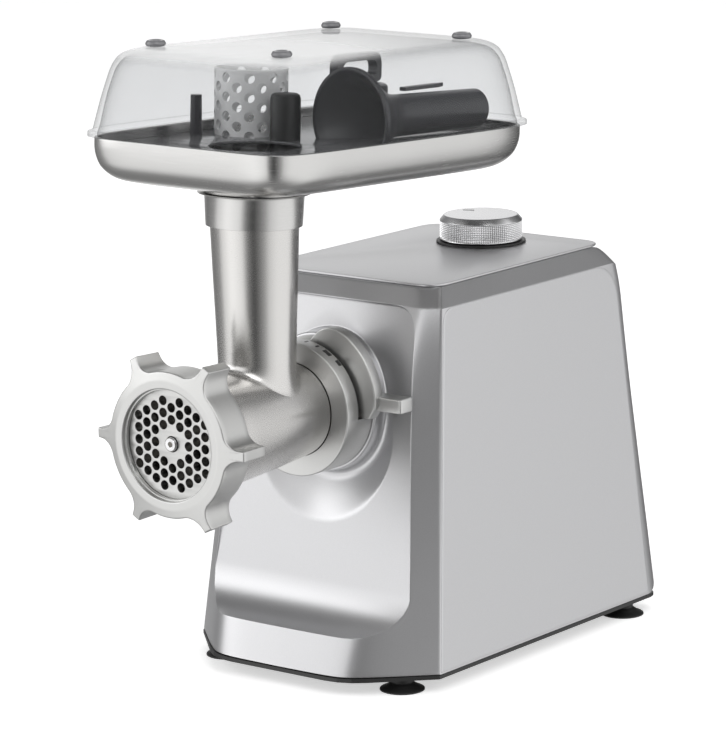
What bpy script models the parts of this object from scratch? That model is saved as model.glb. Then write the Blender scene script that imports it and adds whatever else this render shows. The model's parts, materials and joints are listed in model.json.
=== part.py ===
"""Electric meat grinder: a housing with a geared motor, a pull-off grinding head, and a tray with a lid.

Frame: origin under the middle of the object on the surface it stands on, +Z up, -Y the front, +X the
right. The head's axis runs along Y in the plane X = 0. Lengths are metres; MM turns millimetres to metres.
"""

import math

import bmesh
import bpy
import numpy as np
from mathutils import Matrix, Vector

MM = 0.001
GAP = 0.3 * MM  # between faces that touch on the real object

# Housing outline, which narrows upwards
BASE_Z = 9.7 * MM
PLATE_LOW_Z = 7.6 * MM  # underside of the base plate
TOP_Z = 211.0 * MM
SHOULDER_Z = 200.5 * MM
EDGE_X = 80.4 * MM  # half width at the sharp front edges, at the base
EDGE_Y = -43.8 * MM
FRONT_Y = -80.2 * MM
BACK_Y = 166.6 * MM
SIDE_LEAN = 0.07  # inwards for each unit of height
EDGE_LEAN = 0.12
FRONT_LEAN = 0.29
BACK_LEAN = 0.08
CHAMFER_LOW = 36.4 * MM  # how far across the bevel beside the front reaches, at the base and the shoulder
CHAMFER_HIGH = 15.0 * MM
TOP_HALF_WIDTH = 58.5 * MM
TOP_FRONT_Y = -15.9 * MM
TOP_BACK_Y = 143.3 * MM
PANEL_THICK = 1.2 * MM

# Fascia: a recess with a scoop at its foot, and a dish round the boss
LIP_Z = 30.0 * MM
RECESS_Y = -47.4 * MM  # recess plane at RECESS_Z
RECESS_Z = 62.0 * MM
RECESS_LEAN = 0.18
RECESS_TOP_Z = 200.0 * MM
DISH_RADIUS = 45.0 * MM
DISH_Z = 127.6 * MM
BOSS_RADIUS = 37.5 * MM
BOSS_FRONT_Y = -40.6 * MM

# Head axis and what lies along it, from the front
HEAD_Z = 146.4 * MM
NUT_FRONT_Y = -166.6 * MM
NUT_BACK_Y = -145.5 * MM
NUT_RADIUS = 38.0 * MM
LUG_RADIUS = 48.3 * MM
LUG_COUNT = 6
LUG_TURN = -0.5  # degrees
NUT_FLAT_RADIUS = 33.5 * MM  # the front face is flat inside this, and slopes back outside it
NUT_SLOPE = 0.22
NUT_HOLE_RADIUS = 29.0 * MM
PLATE_FRONT_Y = -161.9 * MM
PLATE_THICK = 5.0 * MM
PLATE_RADIUS = 31.0 * MM
HOLE_RADIUS = 2.5 * MM
HOLE_PITCH = 6.3 * MM
HOLE_LIMIT = 26.8 * MM
BARREL_FRONT_RADIUS = 33.6 * MM
COLLAR_FRONT_Y = -62.3 * MM
COLLAR_BACK_Y = BOSS_FRONT_Y - GAP
COLLAR_RADIUS = 36.0 * MM
BARREL_TAIL_RADIUS = 24.6 * MM
TUBE_Y = -92.4 * MM
LEVER_INNER = 30.2 * MM
# the lever's outer edge as (degrees from +X towards +Z, radius in millimetres)
LEVER_EDGE = [(-4, 40.0), (2, 44.8), (16, 46.6), (40, 47.8), (60, 48.0), (70, 46.6), (78, 43.0), (84, 38.0),
              (88, 33.0)]
TUBE_TOP_Z = 264.0 * MM

# Tray and lid, measured before they lean back about the middle of the neck
PIVOT_Z = 257.0 * MM
TRAY_LEAN = math.radians(-2.5)
TRAY_BACK = 44.7 * MM  # tray centre behind the tube's axis
TRAY_HALF_X = 69.2 * MM
TRAY_HALF_Y = 107.2 * MM
TRAY_POWER = 9.0
TRAY_TAPER = 0.03
NECK_HOLE_RADIUS = 26.2 * MM
PAD_X = 42.4 * MM
PAD_Y = 74.9 * MM

# Knob
KNOB_Y = 107.8 * MM
KNOB_RADIUS = 23.0 * MM
KNOB_HEIGHT = 15.5 * MM
BEZEL_RADIUS = 24.9 * MM

# Gear train: teeth and modules; the three axes lie one above the other
MOTOR_TEETH = 12
MIDDLE_TEETH = 36
MIDDLE_PINION_TEETH = 12
OUTPUT_TEETH = 36
FIRST_MODULE = 1.25 * MM
SECOND_MODULE = 1.75 * MM
BACKLASH = 0.2 * MM
MIDDLE_Z = HEAD_Z - SECOND_MODULE * (MIDDLE_PINION_TEETH + OUTPUT_TEETH) / 2
MOTOR_Z = MIDDLE_Z - FIRST_MODULE * (MOTOR_TEETH + MIDDLE_TEETH) / 2
SECOND_STAGE_Y = 2.0 * MM
FIRST_STAGE_Y = 18.0 * MM
FACE_WIDTH = 9.0 * MM
CASE_FRONT_Y = -12.0 * MM
CASE_BACK_Y = 34.0 * MM
MOTOR_FRONT_Y = 37.0 * MM

FOOT_RADIUS = 12.0 * MM
FOOT_SPOTS = {
    "foot_front_left": (-59.1 * MM, -48.4 * MM),
    "foot_front_right": (59.1 * MM, -48.4 * MM),
    "foot_rear_left": (-71.0 * MM, 142.7 * MM),
    "foot_rear_right": (71.0 * MM, 142.7 * MM),
}

PAINT = ("silver paint", (0.66, 0.66, 0.67), 0.38, 0.85)
STAINLESS = ("brushed stainless", (0.62, 0.61, 0.60), 0.30, 1.0)
CAST = ("cast aluminium", (0.60, 0.60, 0.59), 0.42, 1.0)
STEEL = ("machined steel", (0.72, 0.72, 0.72), 0.25, 1.0)
BLACK = ("black plastic", (0.02, 0.02, 0.02), 0.5, 0.0)
GREY = ("grey plastic", (0.17, 0.17, 0.18), 0.4, 0.0)
RUBBER = ("black rubber", (0.015, 0.015, 0.015), 0.7, 0.0)
CLEAR = ("clear plastic", (0.9, 0.92, 0.93), 0.08, 0.0)
WHITE = ("white plastic", (0.85, 0.85, 0.85), 0.4, 0.0)
COPPER = ("copper", (0.72, 0.40, 0.25), 0.35, 1.0)
GREEN = ("board green", (0.03, 0.22, 0.09), 0.5, 0.0)
BRASS = ("brass", (0.75, 0.58, 0.30), 0.3, 1.0)


def clear_scene():
    for obj in list(bpy.data.objects):
        bpy.data.objects.remove(obj)


def finish(name, mesh, look):
    """Links a mesh as the node NAME with a material of its own."""
    title, colour, roughness, metallic = look
    material = bpy.data.materials.new(f"{name} {title}")
    material.use_nodes = True
    shader = material.node_tree.nodes["Principled BSDF"]
    shader.inputs["Base Color"].default_value = (*colour, 1.0)
    shader.inputs["Roughness"].default_value = roughness
    shader.inputs["Metallic"].default_value = metallic
    mesh.materials.append(material)
    mesh.shade_smooth()
    mesh.set_sharp_from_angle(angle=math.radians(32))
    obj = bpy.data.objects.new(name, mesh)
    bpy.context.scene.collection.objects.link(obj)
    return obj


def closed_mesh(name, points, faces):
    """A mesh with its doubles merged and its faces pointing out."""
    bm = bmesh.new()
    verts = [bm.verts.new(point) for point in points]
    for face in faces:
        bm.faces.new([verts[index] for index in face])
    bmesh.ops.remove_doubles(bm, verts=bm.verts, dist=0.002 * MM)
    bmesh.ops.recalc_face_normals(bm, faces=bm.faces)
    mesh = bpy.data.meshes.new(name)
    bm.to_mesh(mesh)
    bm.free()
    return mesh


def skin(name, rings, look, loop=False):
    """Joins rings of equal length, one after another; the ends get caps, or the last ring meets the first."""
    count = len(rings[0])
    points = [point for ring in rings for point in ring]
    faces = []
    steps = len(rings) if loop else len(rings) - 1
    for step in range(steps):
        low, high = step * count, (step + 1) % len(rings) * count
        for index in range(count):
            after = (index + 1) % count
            faces.append((low + index, low + after, high + after, high + index))
    if not loop:
        faces.append(tuple(range(count)))
        faces.append(tuple(len(points) - count + index for index in range(count)))
    return finish(name, closed_mesh(name, points, faces), look)


def in_mm(pairs):
    """Pairs of lengths in millimetres, turned to metres."""
    return [(first * MM, second * MM) for first, second in pairs]


def turned(name, profile, centre, axis, look, segments=40, loop=False):
    """Turns (radius, height) points about an axis. Set loop for a ring with a bore."""
    rings = []
    for radius, height in profile:
        ring = []
        for index in range(segments):
            angle = 2 * math.pi * index / segments
            across, up = radius * math.cos(angle), radius * math.sin(angle)
            ring.append(place(across, up, height, axis, centre))
        rings.append(ring)
    return skin(name, rings, look, loop)


def place(across, up, along, axis, centre):
    """A point from lengths across, up and along an axis through a centre. Up is +Z, or +Y for axis Z."""
    if axis == "Y":
        offset = Vector((across, along, up))
    elif axis == "X":
        offset = Vector((along, across, up))
    else:
        offset = Vector((across, up, along))
    return offset + Vector(centre)


def prism(name, outline, low, high, axis, look, centre=(0, 0, 0)):
    """Extrudes an outline of (across, up) points from LOW to HIGH along an axis."""
    rings = [[place(across, up, level, axis, centre) for across, up in outline] for level in (low, high)]
    return skin(name, rings, look)


def block(name, low, high, look):
    outline = [(low[0], low[1]), (high[0], low[1]), (high[0], high[1]), (low[0], high[1])]
    return prism(name, outline, low[2], high[2], "Z", look)


def circle(radius, segments=32, centre=(0.0, 0.0), turn=0.0):
    angles = [2 * math.pi * index / segments + turn for index in range(segments)]
    return [(centre[0] + radius * math.cos(a), centre[1] + radius * math.sin(a)) for a in angles]


def rounded(corners, steps=4):
    """An outline whose (x, y, radius) corners are rounded by arcs."""
    points = []
    count = len(corners)
    for index, (x, y, radius) in enumerate(corners):
        corner = Vector((x, y))
        if radius == 0:
            points.append((x, y))
            continue
        before = (Vector(corners[index - 1][:2]) - corner).normalized()
        after = (Vector(corners[(index + 1) % count][:2]) - corner).normalized()
        half = before.angle(after) / 2
        centre = corner + (before + after).normalized() * (radius / math.sin(half))
        start = corner + before * (radius / math.tan(half)) - centre
        end = corner + after * (radius / math.tan(half)) - centre
        sweep = start.angle_signed(end)
        for step in range(steps + 1):
            arm = start.copy()
            arm.rotate(Matrix.Rotation(-sweep * step / steps, 2))
            points.append(tuple(centre + arm))
    return points


def cut(target, cutter, operation="DIFFERENCE"):
    """Cuts the target with a hidden helper object."""
    cutter.hide_render = True
    cutter.display_type = "WIRE"
    boolean = target.modifiers.new(cutter.name, "BOOLEAN")
    boolean.object = cutter
    boolean.operation = operation
    boolean.solver = "EXACT"


# ---------------------------------------------------------------- housing


def housing_ring(z, inset, steps=3):
    """The housing's outline at a height, moved inwards by INSET."""
    rise = z - BASE_Z
    shoulder = max(0.0, z - SHOULDER_Z) / (TOP_Z - SHOULDER_Z)
    side_x = EDGE_X - SIDE_LEAN * min(rise, SHOULDER_Z - BASE_Z)
    side_x += (TOP_HALF_WIDTH - side_x) * shoulder - inset
    front_y = FRONT_Y + FRONT_LEAN * min(rise, SHOULDER_Z - BASE_Z)
    front_y += (TOP_FRONT_Y - front_y) * shoulder + inset
    edge_y = EDGE_Y + EDGE_LEAN * min(rise, SHOULDER_Z - BASE_Z)
    edge_y = max(edge_y + (TOP_FRONT_Y + 6 * MM - edge_y) * shoulder + inset * 0.6, front_y + 2.5 * MM)
    back_y = BACK_Y - BACK_LEAN * min(rise, SHOULDER_Z - BASE_Z)
    back_y += (TOP_BACK_Y - back_y) * shoulder - inset
    extent = CHAMFER_LOW + (CHAMFER_HIGH - CHAMFER_LOW) * min(1.0, rise / (SHOULDER_Z - BASE_Z))
    half = [(side_x, back_y, 9 * MM), (side_x, edge_y, 0.8 * MM), (side_x - extent, front_y, 30 * MM)]
    corners = half + [(-x, y, r) for x, y, r in reversed(half)]
    return [(x, y, z) for x, y in rounded(corners, steps)]


def housing_body(name, inset, low, high):
    """A solid of the housing's form between two heights."""
    levels = [low, 60 * MM, 120 * MM, 180 * MM, 195 * MM, SHOULDER_Z - inset * 0.4, high]
    return skin(name, [housing_ring(z, inset) for z in levels], PAINT)


def recess_half_width(z):
    return (64.6 - 0.085 * (z / MM - 62)) * MM


def recess_cutter():
    """The fascia's recess: a side profile with a scoop, kept inside a rounded front outline."""
    plane_top_z = RECESS_TOP_Z + 2 * MM
    scoop = 27 * MM
    lean = math.atan(RECESS_LEAN)
    turn_y = RECESS_Y + RECESS_LEAN * (LIP_Z + scoop - RECESS_Z) - scoop
    profile = [(FRONT_Y - 30 * MM, LIP_Z - 0.5 * MM), (turn_y, LIP_Z)]
    for step in range(1, 8):
        angle = (math.pi / 2 - lean) * step / 8
        profile.append((turn_y + scoop * math.sin(angle), LIP_Z + scoop * (1 - math.cos(angle))))
    profile.append((RECESS_Y + RECESS_LEAN * (LIP_Z + scoop + 4 * MM - RECESS_Z), LIP_Z + scoop + 4 * MM))
    profile.append((RECESS_Y + RECESS_LEAN * (plane_top_z - RECESS_Z), plane_top_z))
    profile.append((FRONT_Y - 30 * MM, plane_top_z))
    sweep = prism("cut_recess", profile, -90 * MM, 90 * MM, "X", PAINT)
    low, high = LIP_Z - 6 * MM, RECESS_TOP_Z
    right = [(recess_half_width(low), low, 17 * MM), (recess_half_width(high), high, 10 * MM)]
    corners = right + [(-x, z, r) for x, z, r in reversed(right)]
    outline = prism("cut_recess_outline", rounded(corners, 6), -130 * MM, 10 * MM, "Y", PAINT)
    cut(sweep, outline, "INTERSECT")
    return sweep


def dish_cutter():
    """The hollow round the boss: a bowl whose sides rise and narrow towards the top."""
    rings = []
    for depth, shrink in ((-60, 1.0), (-40, 1.0), (-34, 0.97), (-29.5, 0.9)):
        ring = []
        for index in range(40):
            angle = 2 * math.pi * index / 40
            across = math.cos(angle) * DISH_RADIUS
            up = math.sin(angle) * DISH_RADIUS
            if up > 0:
                across *= 1 - 0.33 * (up / DISH_RADIUS) ** 2
                up *= 66 * MM / DISH_RADIUS
            ring.append((across * shrink, depth * MM + up * 0.16, DISH_Z + up * shrink))
        rings.append(ring)
    return skin("cut_dish", rings, PAINT)


def side_panel_outline(grow):
    """A side panel in side view, as (y, z) points."""
    low, high = BASE_Z + 1.2 * MM, SHOULDER_Z
    front_low = EDGE_Y + EDGE_LEAN * (low - BASE_Z) + 1.0 * MM
    front_high = EDGE_Y + EDGE_LEAN * (high - BASE_Z) + 1.0 * MM
    back_low = BACK_Y - 11 * MM
    back_high = BACK_Y - BACK_LEAN * (high - BASE_Z) - 11 * MM
    corners = [
        (front_low - grow, low - grow, 1.0 * MM),
        (back_low + grow, low - grow, 1.0 * MM),
        (back_high + grow, high + grow, 18 * MM),
        (front_high - grow, high + grow, 8 * MM),
    ]
    return rounded(corners, 5)


def side_sheet(name, side, grow, inner, outer):
    """A sheet along the housing's side, between two depths outwards from the side plane."""
    rings = []
    for depth in (inner, outer):
        ring = []
        for y, z in side_panel_outline(grow):
            ring.append((side * (EDGE_X - SIDE_LEAN * (z - BASE_Z) + depth), y, z))
        rings.append(ring)
    return skin(name, rings, PAINT)


def housing_shell():
    shell = housing_body("housing_shell", 0.0, BASE_Z + GAP, TOP_Z - 1.6 * MM)
    cut(shell, recess_cutter())
    cut(shell, dish_cutter())
    boss_back = -14 * MM
    boss = turned("join_boss", [(33 * MM, boss_back), (BOSS_RADIUS + 6 * MM, boss_back),
                                (BOSS_RADIUS, BOSS_FRONT_Y + 2 * MM), (BOSS_RADIUS - 1.5 * MM, BOSS_FRONT_Y),
                                (33 * MM, BOSS_FRONT_Y)], (0, 0, HEAD_Z), "Y", PAINT, 48, loop=True)
    cut(shell, boss, "UNION")
    cavity = inner_cavity()
    cut(shell, cavity)
    opening = prism("cut_boss_bore", circle(33.0 * MM, 48), -70 * MM, -8 * MM, "Y", PAINT, (0, 0, HEAD_Z))
    cut(shell, opening)
    for side, title in ((-1, "left"), (1, "right")):
        cut(shell, side_sheet(f"cut_panel_{title}", side, GAP, -PANEL_THICK - GAP, 6 * MM))
    shaft = prism("cut_knob_shaft", circle(17 * MM, 32), 190 * MM, 220 * MM, "Z", PAINT, (0, KNOB_Y, 0))
    cut(shell, shaft)
    rear = prism("cut_rear", rear_outline(GAP), 100 * MM, 200 * MM, "Y", PAINT)
    cut(shell, rear)
    return shell


def inner_cavity():
    """The space inside the housing. Its front follows the recess and the scoop one wall behind them."""
    rings = []
    for z in (0.0, 36 * MM, 60 * MM, 120 * MM, 180 * MM, 195 * MM, TOP_Z - 5.2 * MM):
        level = max(z, BASE_Z)
        side_x = EDGE_X - SIDE_LEAN * (min(level, SHOULDER_Z) - BASE_Z) - 4.6 * MM
        if z > SHOULDER_Z:
            side_x -= 5 * MM
        plane_y = RECESS_Y + RECESS_LEAN * (level - RECESS_Z)
        front_y = max(plane_y + 11 * MM, -40 * MM)
        back_y = BACK_Y - BACK_LEAN * (min(level, SHOULDER_Z) - BASE_Z) - 3.2 * MM
        if z > SHOULDER_Z:
            back_y -= 9 * MM
        corners = [(side_x, back_y, 6 * MM), (side_x, front_y, 6 * MM)]
        corners += [(-x, y, r) for x, y, r in reversed(corners)]
        rings.append([(x, y, z) for x, y in rounded(corners, 2)])
    return skin("cut_cavity", rings, PAINT)


def side_panels():
    for side, title in ((-1, "left"), (1, "right")):
        side_sheet(f"side_panel_{title}", side, 0.0, -PANEL_THICK, 0.0)


def top_panel():
    corners = [(TOP_HALF_WIDTH, TOP_BACK_Y, 12 * MM), (TOP_HALF_WIDTH, TOP_FRONT_Y, 12 * MM)]
    corners += [(-x, y, r) for x, y, r in reversed(corners)]
    plate = prism("top_panel", rounded(corners, 6), TOP_Z - 1.3 * MM, TOP_Z, "Z", PAINT)
    hole = prism("cut_top_hole", circle(20 * MM, 32), 200 * MM, 220 * MM, "Z", PAINT, (0, KNOB_Y, 0))
    cut(plate, hole)


def rear_outline(grow):
    low, high = 26 * MM, 176 * MM
    return rounded([(52 * MM + grow, low - grow, 6 * MM), (46 * MM + grow, high + grow, 10 * MM),
                    (-46 * MM - grow, high + grow, 10 * MM), (-52 * MM - grow, low - grow, 6 * MM)], 4)


def rear_cover():
    """The rear cover follows the leaning back, with a row of air slots and a recessed mains inlet."""
    rings = []
    for depth in (-2.6 * MM, 0.0):
        rings.append([(x, BACK_Y - BACK_LEAN * (z - BASE_Z) + depth, z) for x, z in rear_outline(0.0)])
    cover = skin("rear_cover", rings, GREY)
    for index in range(9):
        z = (96 + 8 * index) * MM
        low, high = (-30 * MM, 120 * MM, z), (30 * MM, 190 * MM, z + 3.5 * MM)
        cut(cover, block(f"cut_slot_{index}", low, high, GREY))
    window = block("cut_inlet", (-15.3 * MM, 120 * MM, 39.7 * MM), (15.3 * MM, 190 * MM, 62.3 * MM), GREY)
    cut(cover, window)


def mains_inlet():
    """A blind socket with three flat pins' worth of depth, open to the back."""
    low, high = (-15 * MM, 140 * MM, 40 * MM), (15 * MM, BACK_Y - 4.6 * MM, 62 * MM)
    body = block("mains_inlet", low, high, BLACK)
    low, high = (-11.5 * MM, 147 * MM, 43.5 * MM), (11.5 * MM, 180 * MM, 58.5 * MM)
    cut(body, block("cut_inlet_pocket", low, high, BLACK))


def base_plate():
    ring = [(x, y) for x, y, _ in housing_ring(BASE_Z, 0.0)]
    plate = prism("base_plate", ring, PLATE_LOW_Z, BASE_Z, "Z", BLACK)
    for index in range(5):
        x = (-32 + 16 * index) * MM
        low, high = (x - 2.5 * MM, 60 * MM, 0), (x + 2.5 * MM, 110 * MM, 20 * MM)
        cut(plate, block(f"cut_base_slot_{index}", low, high, BLACK))


def feet():
    """Suction feet: a thin cup under a short stem."""
    for name, (x, y) in FOOT_SPOTS.items():
        cup = [(FOOT_RADIUS, 0), (FOOT_RADIUS, 0.9 * MM), (7.2 * MM, 3.4 * MM), (6.2 * MM, 4.0 * MM)]
        profile = cup + [(6.2 * MM, PLATE_LOW_Z - GAP)]
        turned(name, profile, (x, y, 0), "Z", RUBBER, 24)


def knob_bezel():
    outer = BEZEL_RADIUS / MM
    profile = [(18.2, 211.3), (outer, 211.3), (outer, 211.9), (outer - 0.6, 212.2), (18.2, 212.2)]
    turned("knob_bezel", in_mm(profile), (0, KNOB_Y, 0), "Z", BLACK, 36, loop=True)


def speed_knob():
    """A turned knob: grooved side, polished chamfer, and a flat top."""
    low = 212.6 * MM
    top = TOP_Z + KNOB_HEIGHT
    profile = [(KNOB_RADIUS - 0.6 * MM, low)]
    for index in range(2):
        z = low + (1.2 + 5 * index) * MM
        profile += [(KNOB_RADIUS, z), (KNOB_RADIUS, z + 3.4 * MM), (KNOB_RADIUS - 0.5 * MM, z + 4.2 * MM)]
    profile += [(KNOB_RADIUS, top - 2.6 * MM), (KNOB_RADIUS - 2.6 * MM, top)]
    turned("speed_knob", profile, (0, KNOB_Y, 0), "Z", STEEL, 36)
    turned("knob_shaft", [(3 * MM, 186 * MM), (3 * MM, low - GAP)], (0, KNOB_Y, 0), "Z", BRASS, 16)


def rotary_switch():
    profile = [(3.3, 176), (14, 176), (14, 196), (6, 196), (6, 202), (3.3, 202)]
    turned("rotary_switch", in_mm(profile), (0, KNOB_Y, 0), "Z", BLACK, 24, loop=True)


# ---------------------------------------------------------------- drive


def gear_outline(teeth, module, turn):
    """Involute teeth with short tips, so that a small pinion meshes without undercutting."""
    pitch = module * teeth / 2
    base = pitch * math.cos(math.radians(20))
    tip, root = pitch + 0.78 * module, pitch - 1.0 * module
    involute_at_pitch = math.tan(math.radians(20)) - math.radians(20)
    half_tooth = math.pi / (2 * teeth) - BACKLASH / (4 * pitch)
    flank = []
    steps = 1 if teeth > 20 else 2
    for step in range(steps + 1):
        radius = max(base, root) + (tip - max(base, root)) * step / steps
        pressure = math.acos(min(1.0, base / radius))
        flank.append((radius, half_tooth + involute_at_pitch - (math.tan(pressure) - pressure)))
    flank.insert(0, (root, flank[0][1]))
    points = []
    for index in range(teeth):
        centre = 2 * math.pi * index / teeth + turn
        for radius, half in flank:
            points.append((radius * math.cos(centre - half), radius * math.sin(centre - half)))
        for radius, half in reversed(flank):
            points.append((radius * math.cos(centre + half), radius * math.sin(centre + half)))
    return points


def gear(name, teeth, module, turn, low_y, z, look, bore, back_y=None):
    """A spur gear along Y with a round bore."""
    high_y = low_y + FACE_WIDTH if back_y is None else back_y
    wheel = prism(name, gear_outline(teeth, module, turn), low_y, high_y, "Y", look, (0, 0, z))
    hole = prism(f"cut_bore_{name}", circle(bore, 24), low_y - MM, high_y + MM, "Y", look, (0, 0, z))
    cut(wheel, hole)
    return wheel


def gear_train():
    """Teeth point up or down at each meeting point, and the other gear has a gap there."""
    up, down = math.pi / 2, -math.pi / 2
    gear("output_gear", OUTPUT_TEETH, SECOND_MODULE, down, SECOND_STAGE_Y, HEAD_Z, STEEL, 11.3 * MM)
    gap_up = up + math.pi / MIDDLE_PINION_TEETH
    gear("intermediate_pinion", MIDDLE_PINION_TEETH, SECOND_MODULE, gap_up, SECOND_STAGE_Y - 0.5 * MM,
         MIDDLE_Z, STEEL, 4.1 * MM, FIRST_STAGE_Y - GAP)
    gear("intermediate_gear", MIDDLE_TEETH, FIRST_MODULE, down, FIRST_STAGE_Y, MIDDLE_Z, WHITE, 4.1 * MM)
    gap_top = up + math.pi / MOTOR_TEETH
    gear("motor_pinion", MOTOR_TEETH, FIRST_MODULE, gap_top, FIRST_STAGE_Y - 0.5 * MM, MOTOR_Z, STEEL,
         3.3 * MM)
    turned("intermediate_axle", [(3.8 * MM, -8 * MM), (3.8 * MM, 31 * MM)], (0, 0, MIDDLE_Z), "Y", STEEL, 20)


def output_spindle():
    """The spindle carries the output gear and has a square socket for the auger's tail."""
    profile = [(11, -36), (11, 26), (9, 26), (9, 30)]
    spindle = turned("output_spindle", in_mm(profile), (0, 0, HEAD_Z), "Y", STEEL, 32)
    half = 5.4 * MM
    socket = block("cut_socket", (-half, -60 * MM, HEAD_Z - half), (half, -16 * MM, HEAD_Z + half), STEEL)
    cut(spindle, socket)


def gearbox():
    """Two cast halves round the gears, with bushes for the spindle."""
    sides = [(-38 * MM, HEAD_Z + 38 * MM, 12 * MM), (38 * MM, HEAD_Z + 38 * MM, 12 * MM),
             (38 * MM, MIDDLE_Z - 28 * MM, 12 * MM), (-38 * MM, MIDDLE_Z - 28 * MM, 12 * MM)]
    outline = rounded(sides, 3)
    inner = [(x * 0.925, HEAD_Z - 21 * MM + (z - HEAD_Z + 21 * MM) * 0.945) for x, z in outline]
    case = prism("gearbox_case", outline, CASE_FRONT_Y, 15 * MM, "Y", CAST)
    cut(case, prism("cut_case", inner, CASE_FRONT_Y + 3 * MM, 40 * MM, "Y", CAST))
    cut(case, prism("cut_case_bore", circle(14.3 * MM, 32), -30 * MM, 0, "Y", CAST, (0, 0, HEAD_Z)))
    cover = prism("gearbox_cover", outline, 15 * MM + GAP, CASE_BACK_Y, "Y", CAST)
    cut(cover, prism("cut_cover", inner, 0, CASE_BACK_Y - 3 * MM, "Y", CAST))
    cut(cover, prism("cut_cover_bore", circle(12.3 * MM, 32), 20 * MM, 60 * MM, "Y", CAST, (0, 0, HEAD_Z)))
    cut(cover, prism("cut_cover_motor", circle(11.5 * MM, 24), 10 * MM, 60 * MM, "Y", CAST, (0, 0, MOTOR_Z)))
    for name, low, high, inner_radius, outer_radius in (("spindle_bush_front", -13, -5, 11.15, 14),
                                                        ("spindle_bush_rear", 27, 33, 9.15, 12)):
        profile = [(inner_radius, low), (outer_radius, low), (outer_radius, high), (inner_radius, high)]
        turned(name, in_mm(profile), (0, 0, HEAD_Z), "Y", BRASS, 32, loop=True)


def motor():
    """A universal motor: laminated stator, end frames, brushes, and the turning core, shaft and fan."""
    centre = (0, 0, MOTOR_Z)
    corners = [(x * 34 * MM, z * 34 * MM, 9 * MM) for x, z in ((1, 1), (1, -1), (-1, -1), (-1, 1))]
    stator = prism("motor_stator", rounded(corners, 3), 52 * MM, 84 * MM, "Y", STEEL, centre)
    cut(stator, prism("cut_stator", circle(23.5 * MM, 32), 40 * MM, 100 * MM, "Y", STEEL, centre))
    frames = (("motor_frame_front", MOTOR_FRONT_Y, 42 * MM), ("motor_frame_rear", 112 * MM, 117 * MM))
    for name, low, high in frames:
        frame = prism(name, rounded(corners, 3), low, high, "Y", CAST, centre)
        cut(frame, prism(f"cut_{name}", circle(3.3 * MM, 20), low - MM, high + MM, "Y", CAST, centre))
    core = [(3.4, 52), (22.8, 52), (22.8, 84), (3.4, 84)]
    turned("motor_core", in_mm(core), centre, "Y", COPPER, 32, loop=True)
    turned("motor_shaft", [(3.0 * MM, 17 * MM), (3.0 * MM, 121 * MM)], centre, "Y", STEEL, 20)
    commutator = [(3.4, 86), (10, 86), (10, 98), (3.4, 98)]
    turned("commutator", in_mm(commutator), centre, "Y", COPPER, 24, loop=True)
    fan()
    for side, title in ((-1, "left"), (1, "right")):
        low, high = sorted((side * 10.6 * MM, side * 25 * MM))
        corners = (low, 88.5 * MM, MOTOR_Z - 4 * MM), (high, 95.5 * MM, MOTOR_Z + 4 * MM)
        block(f"brush_{title}", *corners, BLACK)


def fan():
    """A disc with eight straight blades, joined into one body."""
    centre = (0, 0, MOTOR_Z)
    profile = [(3.4, 100.5), (26, 100.5), (26, 102.5), (3.4, 102.5)]
    disc = turned("cooling_fan", in_mm(profile), centre, "Y", BLACK, 32, loop=True)
    for index in range(8):
        low, high = (8 * MM, 101.5 * MM, -0.7 * MM), (25 * MM, 110 * MM, 0.7 * MM)
        blade = block(f"join_blade_{index}", low, high, BLACK)
        blade.data.transform(Matrix.Translation(centre) @ Matrix.Rotation(math.pi * index / 4, 4, "Y"))
        cut(disc, blade, "UNION")


def electrics():
    board = block("circuit_board", (48 * MM, 62 * MM, 60 * MM), (49.6 * MM, 122 * MM, 140 * MM), GREEN)
    spot = (0, 68 * MM, 66 * MM)
    cut(board, prism("cut_board_hole", circle(1.7 * MM, 12), 40 * MM, 60 * MM, "X", GREEN, spot))
    can = [(9.0, 50.2), (9.0, 64), (8.2, 65)]
    turned("capacitor", in_mm(can), (0, 90 * MM, 120 * MM), "X", BLACK, 20)


# ---------------------------------------------------------------- collar and lever


def socket_collar():
    """The ring that takes the barrel's tail, slotted over its top for the lock lever."""
    bore = 25.1 * MM
    profile = [(bore, COLLAR_FRONT_Y), (COLLAR_RADIUS - 0.6 * MM, COLLAR_FRONT_Y),
               (COLLAR_RADIUS, COLLAR_FRONT_Y + 0.6 * MM), (COLLAR_RADIUS, COLLAR_BACK_Y),
               (32.4 * MM, COLLAR_BACK_Y), (32.4 * MM, -13.5 * MM), (bore, -13.5 * MM)]
    collar = turned("socket_collar", profile, (0, 0, HEAD_Z), "Y", CAST, 40, loop=True)
    slot = arc_band("cut_lever_slot", 29.5 * MM, 40 * MM, -51.4 * MM, -42.9 * MM, -9, 196, 24)
    cut(collar, slot)


def arc_band(name, inner, outer, low_y, high_y, start, end, steps, look=CAST):
    """A band round the head's axis between two angles, in degrees from +X towards +Z."""
    outline = []
    for radius, order in ((outer, range(steps + 1)), (inner, range(steps, -1, -1))):
        for step in order:
            angle = math.radians(start + (end - start) * step / steps)
            outline.append((radius * math.cos(angle), radius * math.sin(angle)))
    return prism(name, outline, low_y, high_y, "Y", look, (0, 0, HEAD_Z))


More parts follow.
